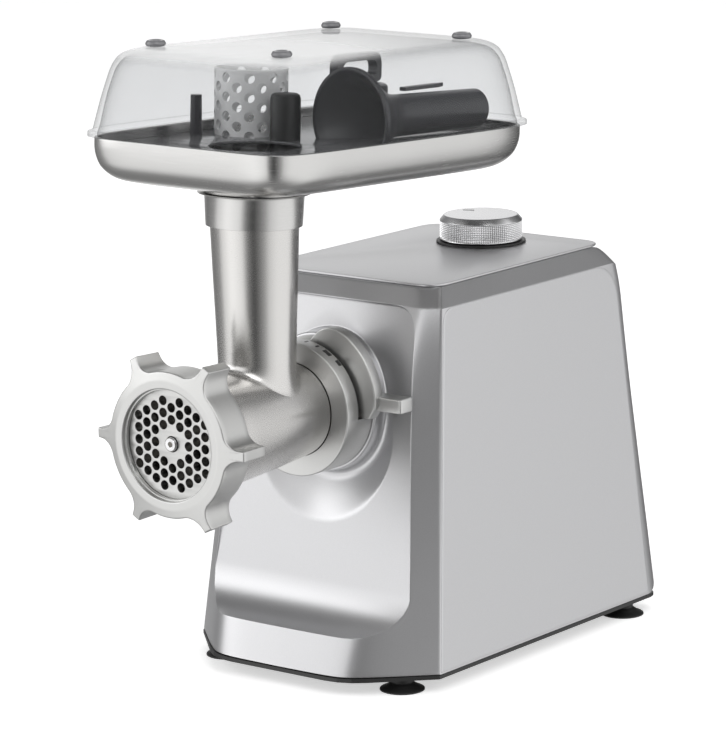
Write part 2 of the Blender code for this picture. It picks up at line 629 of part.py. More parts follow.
def lock_lever():
    """A crescent that rises from the slot, and a tab to push it by."""
    outline = []
    angles = np.linspace(LEVER_EDGE[0][0], LEVER_EDGE[-1][0], 31)
    reaches = np.interp(angles, *zip(*LEVER_EDGE)) * MM
    for angle, radius in zip(np.radians(angles), reaches):
        outline.append((radius * math.cos(angle), radius * math.sin(angle)))
    for angle in np.radians(angles[::-1]):
        outline.append((LEVER_INNER * math.cos(angle), LEVER_INNER * math.sin(angle)))
    lever = prism("lock_lever", outline, -50.7 * MM, -43.5 * MM, "Y", CAST, (0, 0, HEAD_Z))
    tab = block("join_tab", (34 * MM, -47.4 * MM, 148.0 * MM), (59.6 * MM, -36.6 * MM, 155.6 * MM), CAST)
    trim = block("cut_tab_back", (20 * MM, -44.3 * MM, 140 * MM), (38.7 * MM, -20 * MM, 165 * MM), CAST)
    cut(tab, trim)
    tab.data.transform(Matrix.Translation((0, -0.4 * MM, 0)))
    cut(lever, tab, "UNION")
    return lever


# ---------------------------------------------------------------- grinding head


def head_casting():
    """Barrel and feed tube in one casting, bored through both ways."""
    barrel = [(BARREL_FRONT_RADIUS - 1.6 * MM, NUT_FRONT_Y + 9.5 * MM),
              (BARREL_FRONT_RADIUS, NUT_FRONT_Y + 10.5 * MM),
              (BARREL_FRONT_RADIUS, -146.5 * MM), (30.0 * MM, -143.0 * MM), (29.5 * MM, -130 * MM),
              (27.4 * MM, TUBE_Y), (25.0 * MM, COLLAR_FRONT_Y - 0.6 * MM), (BARREL_TAIL_RADIUS, COLLAR_FRONT_Y),
              (BARREL_TAIL_RADIUS, -38.5 * MM)]
    head = turned("head_casting", barrel, (0, 0, HEAD_Z), "Y", STAINLESS, 36)
    tube = [(20.3 * MM, HEAD_Z + 4 * MM), (20.5 * MM, HEAD_Z + 28 * MM), (23.1 * MM, 249 * MM),
            (23.5 * MM, TUBE_TOP_Z)]
    cut(head, turned("join_tube", tube, (0, TUBE_Y, 0), "Z", STAINLESS, 28), "UNION")
    axis = (0, 0, HEAD_Z)
    seat = circle(PLATE_RADIUS + 2 * GAP, 36)
    cut(head, prism("cut_plate_seat", seat, -170 * MM, -150.6 * MM, "Y", STAINLESS, axis))
    cut(head, prism("cut_barrel_bore", circle(22.6 * MM, 28), -160 * MM, -42.6 * MM, "Y", STAINLESS, axis))
    cut(head, prism("cut_tail_bore", circle(11.3 * MM, 32), -50 * MM, -30 * MM, "Y", STAINLESS, axis))
    feed = circle(18.2 * MM, 28)
    cut(head, prism("cut_feed_bore", feed, HEAD_Z, TUBE_TOP_Z + 5 * MM, "Z", STAINLESS, (0, TUBE_Y, 0)))


def hole_spots():
    """The plate's holes lie on a triangular grid; the middle one and its six neighbours are left out."""
    spots = []
    column_pitch = HOLE_PITCH * math.sqrt(3) / 2
    for column in range(-4, 5):
        for row in range(-4, 5):
            x = column * column_pitch
            z = (row + 0.5 * (column % 2)) * HOLE_PITCH
            distance = math.hypot(x, z)
            if HOLE_PITCH * 1.2 < distance < HOLE_LIMIT and abs(z) < 3.6 * HOLE_PITCH:
                spots.append((x, z))
    return spots


def perforated_plate():
    back_y = PLATE_FRONT_Y + PLATE_THICK
    plate = prism("perforated_plate", circle(PLATE_RADIUS, 48), PLATE_FRONT_Y, back_y, "Y", STEEL, (0, 0, HEAD_Z))
    drills = []
    for x, z in hole_spots():
        drills.append(circle(HOLE_RADIUS, 6, (x, HEAD_Z + z)))
    drills.append(circle(4.3 * MM, 20, (0.0, HEAD_Z)))
    points, faces = [], []
    for outline in drills:
        start, count = len(points), len(outline)
        points += [(x, PLATE_FRONT_Y - MM, z) for x, z in outline] + [(x, back_y + MM, z) for x, z in outline]
        for index in range(count):
            after = (index + 1) % count
            faces.append((start + index, start + after, start + count + after, start + count + index))
        faces.append(tuple(start + index for index in range(count)))
        faces.append(tuple(start + count + index for index in range(count)))
    cut(plate, finish("cut_plate_holes", closed_mesh("cut_plate_holes", points, faces), STEEL))


def nut_outline(steps=5):
    """The ring nut from the front: six lugs with hollow flanks on a round body."""
    points = []
    tip_half, foot_half = math.radians(3.2), math.radians(13.5)
    for lug in range(LUG_COUNT):
        centre = math.radians(60 * lug + LUG_TURN)
        flank = []
        for step in range(steps + 1):
            blend = step / steps
            half = foot_half + (tip_half - foot_half) * (1 - (1 - blend) ** 2.4)
            radius = NUT_RADIUS + (LUG_RADIUS - NUT_RADIUS) * blend ** 1.5
            flank.append((radius, half))
        for radius, half in flank:
            points.append((radius * math.cos(centre - half), radius * math.sin(centre - half)))
        for radius, half in reversed(flank):
            points.append((radius * math.cos(centre + half), radius * math.sin(centre + half)))
        for step in (1, 2, 3):
            angle = centre + foot_half + (math.radians(60) - 2 * foot_half) * step / 4
            points.append((NUT_RADIUS * math.cos(angle), NUT_RADIUS * math.sin(angle)))
    return points


def ring_nut():
    flat, sloped, back = [], [], []
    for x, z in nut_outline():
        radius = math.hypot(x, z)
        share = NUT_FLAT_RADIUS / radius
        flat.append((x * share, NUT_FRONT_Y, HEAD_Z + z * share))
        sloped.append((x, NUT_FRONT_Y + NUT_SLOPE * (radius - NUT_FLAT_RADIUS), HEAD_Z + z))
        back.append((x, NUT_BACK_Y, HEAD_Z + z))
    nut = skin("ring_nut", [flat, sloped, back], CAST)
    inner = BARREL_FRONT_RADIUS + GAP
    thread = prism("cut_thread", circle(inner, 48), PLATE_FRONT_Y - GAP, -120 * MM, "Y", CAST, (0, 0, HEAD_Z))
    mouth = prism("cut_mouth", circle(NUT_HOLE_RADIUS, 48), -190 * MM, -150 * MM, "Y", CAST, (0, 0, HEAD_Z))
    cut(nut, thread)
    cut(nut, mouth)


def auger():
    """A core with one flight of growing pitch, a round nose with a pin, and a square tail."""
    core = [(3.6, -163.3), (3.6, -156.6), (6.2, -156.4), (6.2, -150.6), (10.5, -150.4), (9.5, -120), (9.0, -62),
            (10.8, -56), (10.8, -37.2)]
    body = turned("auger", in_mm(core), (0, 0, HEAD_Z), "Y", CAST, 20)
    rings = []
    turns, steps = 4.2, 58
    for step in range(steps + 1):
        part = step / steps
        y = (-148.5 + 92 * part ** 0.85) * MM
        angle = 2 * math.pi * turns * part
        ring = []
        for radius, offset in ((8, -2.3), (21.6, -1.1), (21.6, 1.1), (8, 2.3)):
            across, up = radius * MM * math.cos(angle), radius * MM * math.sin(angle)
            ring.append((across, y + offset * MM, HEAD_Z + up))
        rings.append(ring)
    cut(body, skin("join_flight", rings, CAST), "UNION")
    half = 5.0 * MM
    tail = block("join_tail", (-half, -40 * MM, HEAD_Z - half), (half, -18 * MM, HEAD_Z + half), CAST)
    cut(body, tail, "UNION")


def cutting_knife():
    """Four flat blades on a hub, just behind the plate."""
    low, high = -156.2 * MM, -151.2 * MM
    points = []
    for blade in range(4):
        for radius, degrees in ((10.5, -34), (28.5, -11), (29.0, 6), (11.5, 22)):
            angle = math.radians(90 * blade + degrees + 30)
            points.append((radius * MM * math.cos(angle), radius * MM * math.sin(angle)))
    knife = prism("cutting_knife", points, low, high, "Y", STEEL, (0, 0, HEAD_Z))
    cut(knife, prism("cut_knife_hole", circle(6.5 * MM, 20), low - MM, high + MM, "Y", STEEL, (0, 0, HEAD_Z)))


# ---------------------------------------------------------------- tray and lid


def lean_back(obj):
    """Turns a piece back about the middle of the neck, and returns it."""
    pivot = Vector((0, TUBE_Y, PIVOT_Z))
    turn = Matrix.Translation(pivot) @ Matrix.Rotation(TRAY_LEAN, 4, "X") @ Matrix.Translation(-pivot)
    obj.data.transform(turn)
    return obj


def tray_ring(inset, z, count=44):
    """The tray's outline moved inwards: a superellipse that widens a little towards the back."""
    half_x, half_y = TRAY_HALF_X - inset, TRAY_HALF_Y - inset
    power = 2 / TRAY_POWER
    ring = []
    for index in range(count):
        angle = 2 * math.pi * (index + 0.5) / count
        c, s = math.cos(angle), math.sin(angle)
        x = half_x * math.copysign(abs(c) ** power, c)
        y = half_y * math.copysign(abs(s) ** power, s)
        x *= 1 + TRAY_TAPER * y / TRAY_HALF_Y
        ring.append((x, TUBE_Y + TRAY_BACK + y, z))
    return ring


def tray():
    """A deep-drawn dish: upright rim, rounded foot, and a floor that slopes to the hole over the tube."""
    outer = [(0.6, 294.6), (0.6, 288.0), (2.6, 280.0), (8.0, 273.2), (22.0, 270.0), (40.0, 268.4)]
    thick = 1.6
    angles = [2 * math.pi * (index + 0.5) / 44 for index in range(44)]
    hole = [(NECK_HOLE_RADIUS * math.cos(a), TUBE_Y + NECK_HOLE_RADIUS * math.sin(a)) for a in angles]
    rings = [tray_ring(inset * MM, z * MM) for inset, z in outer]
    rings += [[(x, y, z * MM) for x, y in hole] for z in (266.8, 266.8 + thick)]
    inner = [tray_ring((inset + thick * 0.9) * MM, (z + (0 if index == 0 else thick)) * MM)
             for index, (inset, z) in enumerate(outer)]
    lean_back(skin("tray", rings + inner[::-1], STAINLESS, loop=True))
    neck = [(24.3, 249.2), (25.2, 249.0), (25.9, 264.9), (29.5, 266.0), (29.5, 266.4), (22.2, 266.4),
            (22.2, 265.3), (24.9, 265.3)]
    centre = (0, TUBE_Y, 0)
    lean_back(turned("tray_neck", in_mm(neck), centre, "Z", STAINLESS, 32, loop=True))


def lid():
    """A clear cover: a flange that sits on the tray's rim, leaning walls, and a slightly crowned top."""
    outer = [(-2.3, 294.9), (-2.3, 297.6), (-0.4, 298.2), (3.2, 316), (7.0, 331), (10.5, 337.2), (16, 340.0),
             (34, 340.4)]
    inner = [(2.4, 294.9), (2.4, 297.0), (2.6, 299.0)]
    inner += [(inset + 2.3, z - 2.2 * min(1.0, (index + 1) / 3)) for index, (inset, z) in enumerate(outer[3:])]
    rings = [tray_ring(inset * MM, z * MM) for inset, z in outer[::-1] + inner]
    lean_back(skin("lid", rings, CLEAR))
    for side, title in ((-1, "left"), (1, "right")):
        for end, place_name in ((-1, "front"), (1, "rear")):
            centre = (side * PAD_X * (1 + TRAY_TAPER * end), TUBE_Y + TRAY_BACK + end * PAD_Y, 0)
            profile = [(4.9, 340.8), (5.3, 342.2), (4.3, 343.6)]
            name = f"lid_pad_{place_name}_{title}"
            lean_back(turned(name, in_mm(profile), centre, "Z", GREY, 16))


def stand(name, profile, x, y, look, segments=24, loop=False):
    """A turned piece that stands upright in the tray."""
    points = in_mm(profile)
    return lean_back(turned(name, points, (x * MM, y * MM, 0), "Z", look, segments, loop))


def grater_drum():
    """A drum with four rows of round holes."""
    centre = Vector((-38 * MM, -48 * MM, 0))
    wall = [(18.0, 278), (19.5, 278), (19.5, 325), (18.0, 325)]
    drum = turned("grater_drum", in_mm(wall), centre, "Z", WHITE, 24, loop=True)
    sides, per_row = 6, 8
    points, faces = [], []
    for row in range(4):
        for column in range(per_row):
            angle = 2 * math.pi * (column + 0.5 * (row % 2)) / per_row
            turn = Matrix.Rotation(angle, 4, "Z")
            start = len(points)
            for radius in (15.0, 22.0):
                for across, up in circle(3.0 * MM, sides):
                    spot = turn @ Vector((radius * MM, across, up + (285.5 + 11.5 * row) * MM))
                    points.append(spot + centre)
            for side in range(sides):
                after = (side + 1) % sides
                faces.append((start + side, start + after, start + sides + after, start + sides + side))
            faces.append(tuple(start + side for side in range(sides)))
            faces.append(tuple(start + sides + side for side in range(sides)))
    holes = finish("cut_drum_holes", closed_mesh("cut_drum_holes", points, faces), WHITE)
    cut(drum, holes)
    lean_back(holes)
    lean_back(drum)


def stuffing_horn():
    """A bell-mouthed tube that lies in the tray with its mouth to the front."""
    outer = [(27.5, 0), (27.5, 3), (24.5, 4), (20, 12), (14, 22), (11.2, 30), (10.4, 96)]
    inner = [(8.9, 96), (9.6, 30), (12.3, 21), (18.4, 11), (22.8, 3), (25.5, 0)]
    horn = turned("stuffing_horn", in_mm(outer + inner), (0, 0, 0), "Y", GREY, 32, loop=True)
    turn = Matrix.Rotation(math.radians(-7), 4, "Z")
    horn.data.transform(Matrix.Translation((25 * MM, -45 * MM, 301.5 * MM)) @ turn)
    lean_back(horn)


def accessories():
    """What is stored in the tray, standing or lying clear of its floor and of the lid."""
    grater_drum()
    stand("drum_hub", [(8.0, 272.6), (8.0, 312), (6.5, 314)], -7.5, -57.5, BLACK, 20)
    stand("stay_post", [(3.4, 275.2), (3.0, 311)], -55.0, -73.0, GREY, 12)
    stuffing_horn()
    stand("food_pusher", [(15.5, 274.0), (15.5, 312), (14, 313.5)], -14.0, 14.0, GREY, 24)
    loop = prism("pusher_handle", rounded([(-8 * MM, 314 * MM, 3 * MM), (-8 * MM, 330 * MM, 6 * MM),
                                          (30 * MM, 330 * MM, 6 * MM), (30 * MM, 314 * MM, 3 * MM)], 3),
                 -17 * MM, -11 * MM, "X", GREY)
    window = prism("cut_handle", rounded([(-4 * MM, 318 * MM, 2 * MM), (-4 * MM, 326 * MM, 4 * MM),
                                         (26 * MM, 326 * MM, 4 * MM), (26 * MM, 318 * MM, 2 * MM)], 3),
                   -30 * MM, 0, "X", GREY)
    cut(loop, window)
    lean_back(loop)
    lean_back(window)
    bar = [(25 * MM, -2 * MM), (29 * MM, -2 * MM), (29 * MM, 28 * MM), (27 * MM, 34 * MM), (25 * MM, 28 * MM)]
    lean_back(prism("flat_key", bar, 313.6 * MM, 315.6 * MM, "Z", GREY))


def main():
    clear_scene()
    housing_shell()
    side_panels()
    top_panel()
    rear_cover()
    mains_inlet()
    base_plate()
    feet()
    knob_bezel()
    speed_knob()
    rotary_switch()
    gear_train()
    output_spindle()
    gearbox()
    motor()
    electrics()
    socket_collar()
    lock_lever()
    head_casting()
    perforated_plate()
    ring_nut()
    auger()
    cutting_knife()
    tray()
    lid()
    accessories()


main()
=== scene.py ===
import json
import math

import bmesh
import bpy
import numpy as np
from mathutils import Matrix, Vector


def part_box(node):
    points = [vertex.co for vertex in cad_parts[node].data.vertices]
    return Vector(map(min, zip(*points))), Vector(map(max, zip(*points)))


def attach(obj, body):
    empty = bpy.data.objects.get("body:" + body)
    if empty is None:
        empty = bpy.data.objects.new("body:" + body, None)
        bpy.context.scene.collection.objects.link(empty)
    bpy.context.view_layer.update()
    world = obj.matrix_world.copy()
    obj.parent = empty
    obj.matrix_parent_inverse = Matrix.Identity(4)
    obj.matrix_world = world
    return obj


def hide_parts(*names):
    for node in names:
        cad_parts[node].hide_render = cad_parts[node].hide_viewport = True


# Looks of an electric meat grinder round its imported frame: silver housing, grinding head, tray and lid.
# Lengths are metres; mm turns millimetres to metres. -Y is the front and +Z is up.

mm = 0.001
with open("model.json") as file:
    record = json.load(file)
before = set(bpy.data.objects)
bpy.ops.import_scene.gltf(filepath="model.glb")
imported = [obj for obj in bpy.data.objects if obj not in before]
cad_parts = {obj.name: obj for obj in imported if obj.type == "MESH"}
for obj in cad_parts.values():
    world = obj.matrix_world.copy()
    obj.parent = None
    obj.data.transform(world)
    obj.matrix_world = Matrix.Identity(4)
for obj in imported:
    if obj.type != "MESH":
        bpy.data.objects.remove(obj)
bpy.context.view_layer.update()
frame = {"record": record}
headZ = (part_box("ring_nut")[0][2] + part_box("ring_nut")[1][2]) / 2  # height of the head's axis
tubeY = (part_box("tray_neck")[0][1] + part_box("tray_neck")[1][1]) / 2
print("frame loaded, head axis at", round(headZ, 4))


class Wire:
    # a shader socket on which Python arithmetic adds Math nodes

    def __init__(self, look, socket):
        self.look = look
        self.socket = socket

    def math(self, operation, *values):
        return self.look.node("ShaderNodeMath", {"operation": operation}, *values)

    def __add__(self, other):
        return self.math("ADD", self, other)

    def __radd__(self, other):
        return self.math("ADD", other, self)

    def __sub__(self, other):
        return self.math("SUBTRACT", self, other)

    def __rsub__(self, other):
        return self.math("SUBTRACT", other, self)

    def __mul__(self, other):
        return self.math("MULTIPLY", self, other)

    def __rmul__(self, other):
        return self.math("MULTIPLY", other, self)

    def __truediv__(self, other):
        return self.math("DIVIDE", self, other)

    def __rtruediv__(self, other):
        return self.math("DIVIDE", other, self)

    def __pow__(self, other):
        return self.math("POWER", self, other)


class Graph:
    # a node tree, and short ways to add to it

    def __init__(self, owner):
        owner.use_nodes = True
        self.tree = owner.node_tree

    def feed(self, socket, value):
        if isinstance(value, Wire):
            self.tree.links.new(value.socket, socket)
        elif isinstance(value, tuple) and len(value) == 3 and len(socket.default_value) == 4:
            socket.default_value = (*value, 1.0)
        else:
            socket.default_value = value

    def node(self, kind, settings=None, *values, out=0, **named):
        # adds a node: its settings first, then values or wires for its sockets, by place or by name
        node = self.tree.nodes.new(kind)
        for title, value in (settings or {}).items():
            if title == "stops":
                ramp = node.color_ramp
                ramp.interpolation = "EASE"
                while len(ramp.elements) < len(value):
                    ramp.elements.new(0.5)
                for element, (place, colour) in zip(ramp.elements, value):
                    element.position = place
                    element.color = (*colour, 1.0)
            else:
                setattr(node, title, value)
        pairs = [(node.inputs[place], value) for place, value in enumerate(values)]
        pairs += [(node.inputs[title.replace("_", " ")], value) for title, value in named.items()]
        for socket, value in pairs:
            self.feed(socket, value)
        return Wire(self, node.outputs[out])

    def mixColour(self, factor, first, second):
        node = self.tree.nodes.new("ShaderNodeMix")
        node.data_type = "RGBA"
        for place, value in ((0, factor), (6, first), (7, second)):
            self.feed(node.inputs[place], value)
        return Wire(self, node.outputs[2])


class Look(Graph):
    # one material and its nodes

    def __init__(self, name, **fixed):
        self.material = bpy.data.materials.new(name)
        super().__init__(self.material)
        self.shader = self.tree.nodes["Principled BSDF"]
        for title, value in fixed.items():
            self.set(title, value)

    def set(self, title, value):
        self.feed(self.shader.inputs[title.replace("_", " ")], value)

    def place(self, scale=(1, 1, 1), centre=(0, 0, 0), turn=(0, 0, 0)):
        # object coordinates, moved, turned and stretched
        where = self.node("ShaderNodeTexCoord", out=3)
        offset = tuple(-c * s for c, s in zip(centre, scale))
        return self.node("ShaderNodeMapping", None, Vector=where, Location=offset, Rotation=turn, Scale=scale)

    def noise(self, where, scale, detail=3.0, roughness=0.55):
        return self.node("ShaderNodeTexNoise", None, Vector=where, Scale=scale, Detail=detail,
                         Roughness=roughness)

    def bump(self, height, strength, distance):
        return self.node("ShaderNodeBump", None, Height=height, Strength=strength, Distance=distance)


def grainPaint(name, colour, roughness, metallic=0.85, sparkle=0.05):
    # metallic paint: a fine grain in its colour and its surface, and a slow drift in gloss
    look = Look(name, Metallic=metallic)
    where = look.place()
    grain = look.noise(where, 1500.0, 2.0)
    drift = look.noise(where, 14.0, 2.0)
    shade = (grain - 0.5) * sparkle * 2 + (drift - 0.5) * 0.03 + 1.0
    dark = tuple(c * 0.8 for c in colour)
    light = tuple(min(1.0, c * 1.2) for c in colour)
    look.set("Base Color", look.mixColour((shade - 0.8) * 2.5, dark, light))
    look.set("Roughness", (drift - 0.5) * 0.06 + (grain - 0.5) * 0.08 + roughness)
    look.set("Normal", look.bump(grain, 0.10, 0.00005))
    return look.material


def brushedSteel(name, colour, roughness, stretch, scale=900.0, centre=(0, 0, 0), strength=0.12):
    # brushed metal: noise drawn out along the brushing, in gloss, colour and surface
    look = Look(name, Metallic=1.0)
    where = look.place(stretch, centre)
    lines = look.noise(where, scale, 4.0, 0.6)
    cloud = look.noise(look.place(), 25.0, 3.0)
    dark = tuple(c * 0.88 for c in colour)
    look.set("Base Color", look.mixColour(lines, dark, colour))
    look.set("Roughness", (lines - 0.5) * 0.16 + (cloud - 0.5) * 0.10 + roughness)
    look.set("Normal", look.bump(lines, strength, 0.00004))
    return look.material


def castMetal(name, colour, roughness, strength=0.2):
    # tumbled cast metal: a soft mottle and a fine tooth
    look = Look(name, Metallic=1.0)
    where = look.place()
    tooth = look.noise(where, 1100.0, 3.0)
    mottle = look.noise(where, 60.0, 4.0)
    dark = tuple(c * 0.86 for c in colour)
    look.set("Base Color", look.mixColour(mottle, dark, colour))
    look.set("Roughness", (mottle - 0.5) * 0.14 + (tooth - 0.5) * 0.08 + roughness)
    look.set("Normal", look.bump(tooth, strength, 0.00006))
    return look.material


def mouldedPlastic(name, colour, roughness, coat=0.0):
    # moulded plastic: a faint orange peel and uneven gloss
    look = Look(name, Metallic=0.0, Coat_Weight=coat)
    where = look.place()
    peel = look.noise(where, 400.0, 2.0)
    wear = look.noise(where, 40.0, 3.0)
    dark = tuple(c * 0.9 for c in colour)
    look.set("Base Color", look.mixColour(wear, dark, colour))
    look.set("Roughness", (wear - 0.5) * 0.10 + roughness)
    look.set("Normal", look.bump(peel, 0.08, 0.0001))
    return look.material


def clearPlastic(name, wall, top, facing, edge):
    # clear plastic: see-through when faced, and greyer and glossier towards its edges; the dark wall colour
    # there is painted shade, and above a set height the top gets a near-white painted light and is made less
    # see-through
    look = Look(name, Roughness=0.04, Metallic=0.0, Specular_IOR_Level=0.6, IOR=1.49)
    where = look.place()
    haze = look.noise(where, 22.0, 3.0)
    height = look.node("ShaderNodeSeparateXYZ", None, where, out=2)
    # painted light: above this height the lid's top takes the near-white top colour and turns less clear
    painted_light_top = look.node("ShaderNodeMapRange", {"interpolation_type": "SMOOTHSTEP"}, height, 0.334, 0.340)
    look.set("Base Color", look.mixColour(painted_light_top, wall, top))
    weight = look.node("ShaderNodeLayerWeight", None, 0.35, out=1)
    clear = look.node("ShaderNodeBsdfTransparent", None, (0.97, 0.973, 0.976, 1.0))
    # the painted light on the top also adds to how much of the dark-walled, white-topped plastic shows
    factor = (weight ** 2.0) * (edge - facing) + facing + (haze - 0.5) * 0.015 + painted_light_top * 0.22
    mixed = look.node("ShaderNodeMixShader", None, factor, clear, Wire(look, look.shader.outputs[0]))
    output = look.tree.nodes["Material Output"]
    look.tree.links.new(mixed.socket, output.inputs["Surface"])
    return look.material


def makeMesh(name, verts, quads, caps=(), sharp=34.0):
    # a closed mesh from an array of points, an array of quads and some polygons
    faces = quads.tolist() + [list(cap) for cap in caps]
    mesh = bpy.data.meshes.new(name)
    mesh.from_pydata(verts.reshape(-1, 3), [], faces)
    bm = bmesh.new()
    bm.from_mesh(mesh)
    bmesh.ops.remove_doubles(bm, verts=bm.verts, dist=1e-6)
    bmesh.ops.recalc_face_normals(bm, faces=bm.faces)
    bm.to_mesh(mesh)
    bm.free()
    mesh.shade_smooth()
    mesh.set_sharp_from_angle(angle=math.radians(sharp))
    return mesh


def addPiece(name, mesh, material, body, replaced=()):
    obj = bpy.data.objects.new(name, mesh)
    bpy.context.scene.collection.objects.link(obj)
    mesh.materials.clear()
    mesh.materials.append(material)
    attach(obj, body)
    if replaced:
        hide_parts(*replaced)
    return obj


def quadsOf(rows, columns, loop):
    # indices of the quads of a grid whose columns wrap round, and whose rows may too
    low = np.arange(rows if loop else rows - 1)[:, None]
    here = np.arange(columns)[None, :]
    after, high = (here + 1) % columns, (low + 1) % rows
    return np.stack([low * columns + here, low * columns + after, high * columns + after,
                     high * columns + here], -1).reshape(-1, 4)


def gridMesh(name, grid, loop=False, sharp=34.0):
    # a surface from rings: grid[row, column] is a point; the first and last rings are capped unless they meet
    rows, columns = grid.shape[:2]
    ends = () if loop else (range(columns), range((rows - 1) * columns, rows * columns))
    return makeMesh(name, grid, quadsOf(rows, columns, loop), ends, sharp)


def softPath(points, radius, steps=5, closed=False):
    # a path whose corners are replaced by short parabolas, each reaching RADIUS along both sides
    points = np.asarray(points, float)
    radius = np.broadcast_to(np.asarray(radius, float), len(points))
    t = np.linspace(0, 1, steps + 1)[:, None]
    out = []
    for index in range(len(points)):
        here = points[index]
        if radius[index] == 0 or (not closed and index in (0, len(points) - 1)):
            out.append(here[None])
            continue
        before, after = points[index - 1] - here, points[(index + 1) % len(points)] - here
        reach = min(radius[index], 0.48 * np.linalg.norm(before), 0.48 * np.linalg.norm(after))
        start = here + before / np.linalg.norm(before) * reach
        end = here + after / np.linalg.norm(after) * reach
        out.append((1 - t) ** 2 * start + 2 * t * (1 - t) * here + t ** 2 * end)
    return np.concatenate(out)


def millimetrePath(points, radius, steps=5, closed=False):
    # softPath for points and radii in millimetres
    return softPath(np.array(points) * mm, np.array(radius) * mm, steps, closed)


def turnedGrid(profile, segments, centre, axis="Z"):
    # points of a profile of (radius, height) carried round an axis through a centre
    profile = np.asarray(profile, float)
    angle = np.arange(segments) * 2 * np.pi / segments
    across = profile[:, :1] * np.cos(angle)
    up = profile[:, :1] * np.sin(angle)
    along = np.broadcast_to(profile[:, 1:2], across.shape)
    order = {"Z": (across, up, along), "Y": (across, along, up), "X": (along, across, up)}[axis]
    return np.stack(order, -1) + np.asarray(centre)


def plateMesh(name, outlines, low, high, edge, axis="Z", centre=(0, 0, 0), sharp=34.0):
    # a flat plate with holes: filled outlines, given thickness and rounded edges, laid across an axis
    curve = bpy.data.curves.new(name, "CURVE")
    curve.dimensions = "2D"
    curve.fill_mode = "BOTH"
    curve.extrude = (high - low) / 2 - edge
    curve.bevel_depth = edge
    curve.bevel_resolution = 2
    curve.offset = -edge
    for outline in outlines:
        spline = curve.splines.new("POLY")
        spline.points.add(len(outline) - 1)
        flat = np.zeros((len(outline), 4))
        flat[:, :2] = outline
        spline.points.foreach_set("co", flat.ravel())
        spline.use_cyclic_u = True
    holder = bpy.data.objects.new(name, curve)
    bpy.context.scene.collection.objects.link(holder)
    depsgraph = bpy.context.evaluated_depsgraph_get()
    mesh = bpy.data.meshes.new_from_object(holder.evaluated_get(depsgraph))
    bpy.data.objects.remove(holder)
    bm = bmesh.new()
    bm.from_mesh(mesh)
    bmesh.ops.remove_doubles(bm, verts=bm.verts, dist=2e-6)
    turn = {"Z": Matrix.Identity(4), "Y": Matrix(((1, 0, 0, 0), (0, 0, 1, 0), (0, 1, 0, 0), (0, 0, 0, 1))),
            "X": Matrix(((0, 0, 1, 0), (1, 0, 0, 0), (0, 1, 0, 0), (0, 0, 0, 1)))}[axis]
    middle = Vector(centre) + turn.to_3x3() @ Vector((0, 0, (low + high) / 2))
    bmesh.ops.transform(bm, matrix=Matrix.Translation(middle) @ turn, verts=bm.verts)
    bmesh.ops.recalc_face_normals(bm, faces=bm.faces)
    bm.to_mesh(mesh)
    bm.free()
    mesh.shade_smooth()
    mesh.set_sharp_from_angle(angle=math.radians(sharp))
    return mesh


def inwards(outline, distance):
    # a closed outline moved inwards along its normals
    ahead, behind = np.roll(outline, -1, 0), np.roll(outline, 1, 0)
    along = ahead - behind
    along /= np.linalg.norm(along, axis=1, keepdims=True)
    area = np.sum(outline[:, 0] * ahead[:, 1] - ahead[:, 0] * outline[:, 1])
    normal = np.stack([-along[:, 1], along[:, 0]], -1) * np.sign(area)
    return outline + normal * distance


def softPrism(name, outline, low, high, edge, axis="Z", centre=(0, 0, 0), sharp=34.0):
    # an outline carried along an axis, with both its end edges rounded
    outline = np.asarray(outline, float)
    rings = []
    for end, way in ((low, 1), (high, -1)):
        steps = [(edge * 1.15, 0.0)]
        for angle in np.linspace(0, np.pi / 2, 5):
            steps.append((edge * (1 - math.sin(angle)), edge * (1 - math.cos(angle))))
        for inset, rise in steps[::way]:
            flat = inwards(outline, inset)
            level = np.full(len(flat), end + way * rise)
            order = {"Z": (flat[:, 0], flat[:, 1], level), "Y": (flat[:, 0], level, flat[:, 1]),
                     "X": (level, flat[:, 0], flat[:, 1])}[axis]
            rings.append(np.stack(order, -1) + np.asarray(centre))
    return gridMesh(name, np.array(rings), sharp=sharp)


def ringOf(radius, count, centre=(0.0, 0.0)):
    angle = np.arange(count) * 2 * np.pi / count
    return np.stack([centre[0] + radius * np.cos(angle), centre[1] + radius * np.sin(angle)], -1)


def smoothMax(a, b, width):
    return 0.5 * (a + b + np.sqrt((a - b) ** 2 + width ** 2))


cameraValues = {"place": (1.2832, -1.6793, 0.6003), "lens": 195.65,
                "right": (0.79583, 0.60539, -0.01264), "up": (-0.11449, 0.17095, 0.97860)}


def makeCamera():
    data = bpy.data.cameras.new("camera")
    data.lens = cameraValues["lens"]
    data.sensor_width = 36.0
    data.clip_end = 20.0
    camera = bpy.data.objects.new("camera", data)
    right, up = Vector(cameraValues["right"]), Vector(cameraValues["up"])
    back = right.cross(up)
    turn = Matrix((right, up, back)).transposed().to_4x4()
    camera.matrix_world = Matrix.Translation(cameraValues["place"]) @ turn
    bpy.context.scene.collection.objects.link(camera)
    bpy.context.scene.camera = camera


def addLamp(name, place, target, size, power, tall=None):
    data = bpy.data.lights.new(name, "AREA")
    data.shape = "RECTANGLE"
    data.size, data.size_y = size, tall or size
    data.energy = power
    lamp = bpy.data.objects.new(name, data)
    lamp.location = place
    lamp.rotation_euler = (Vector(target) - Vector(place)).to_track_quat("-Z", "Y").to_euler()
    bpy.context.scene.collection.objects.link(lamp)


studioValues = {"belt": ((0.0, 0.30), (0.045, 0.36), (0.10, 1.05), (0.17, 1.40), (0.255, 1.2), (0.305, 0.22),
                         (0.35, 0.05), (0.385, 0.22), (0.42, 0.42), (0.47, 0.95), (0.53, 1.15), (0.64, 1.15),
                         (0.69, 0.24), (0.78, 0.10), (0.83, 0.80), (0.865, 1.0), (0.915, 0.36), (0.96, 0.22),
                         (1.0, 0.30)),
                "zenith": 0.12, "zenithFrom": 0.58, "zenithTo": 0.92, "nadir": 0.3, "nadirFrom": -0.5,
                "nadirTo": -0.95, "strength": 1.4, "backdrop": 0.72, "floorGlow": 0.54}


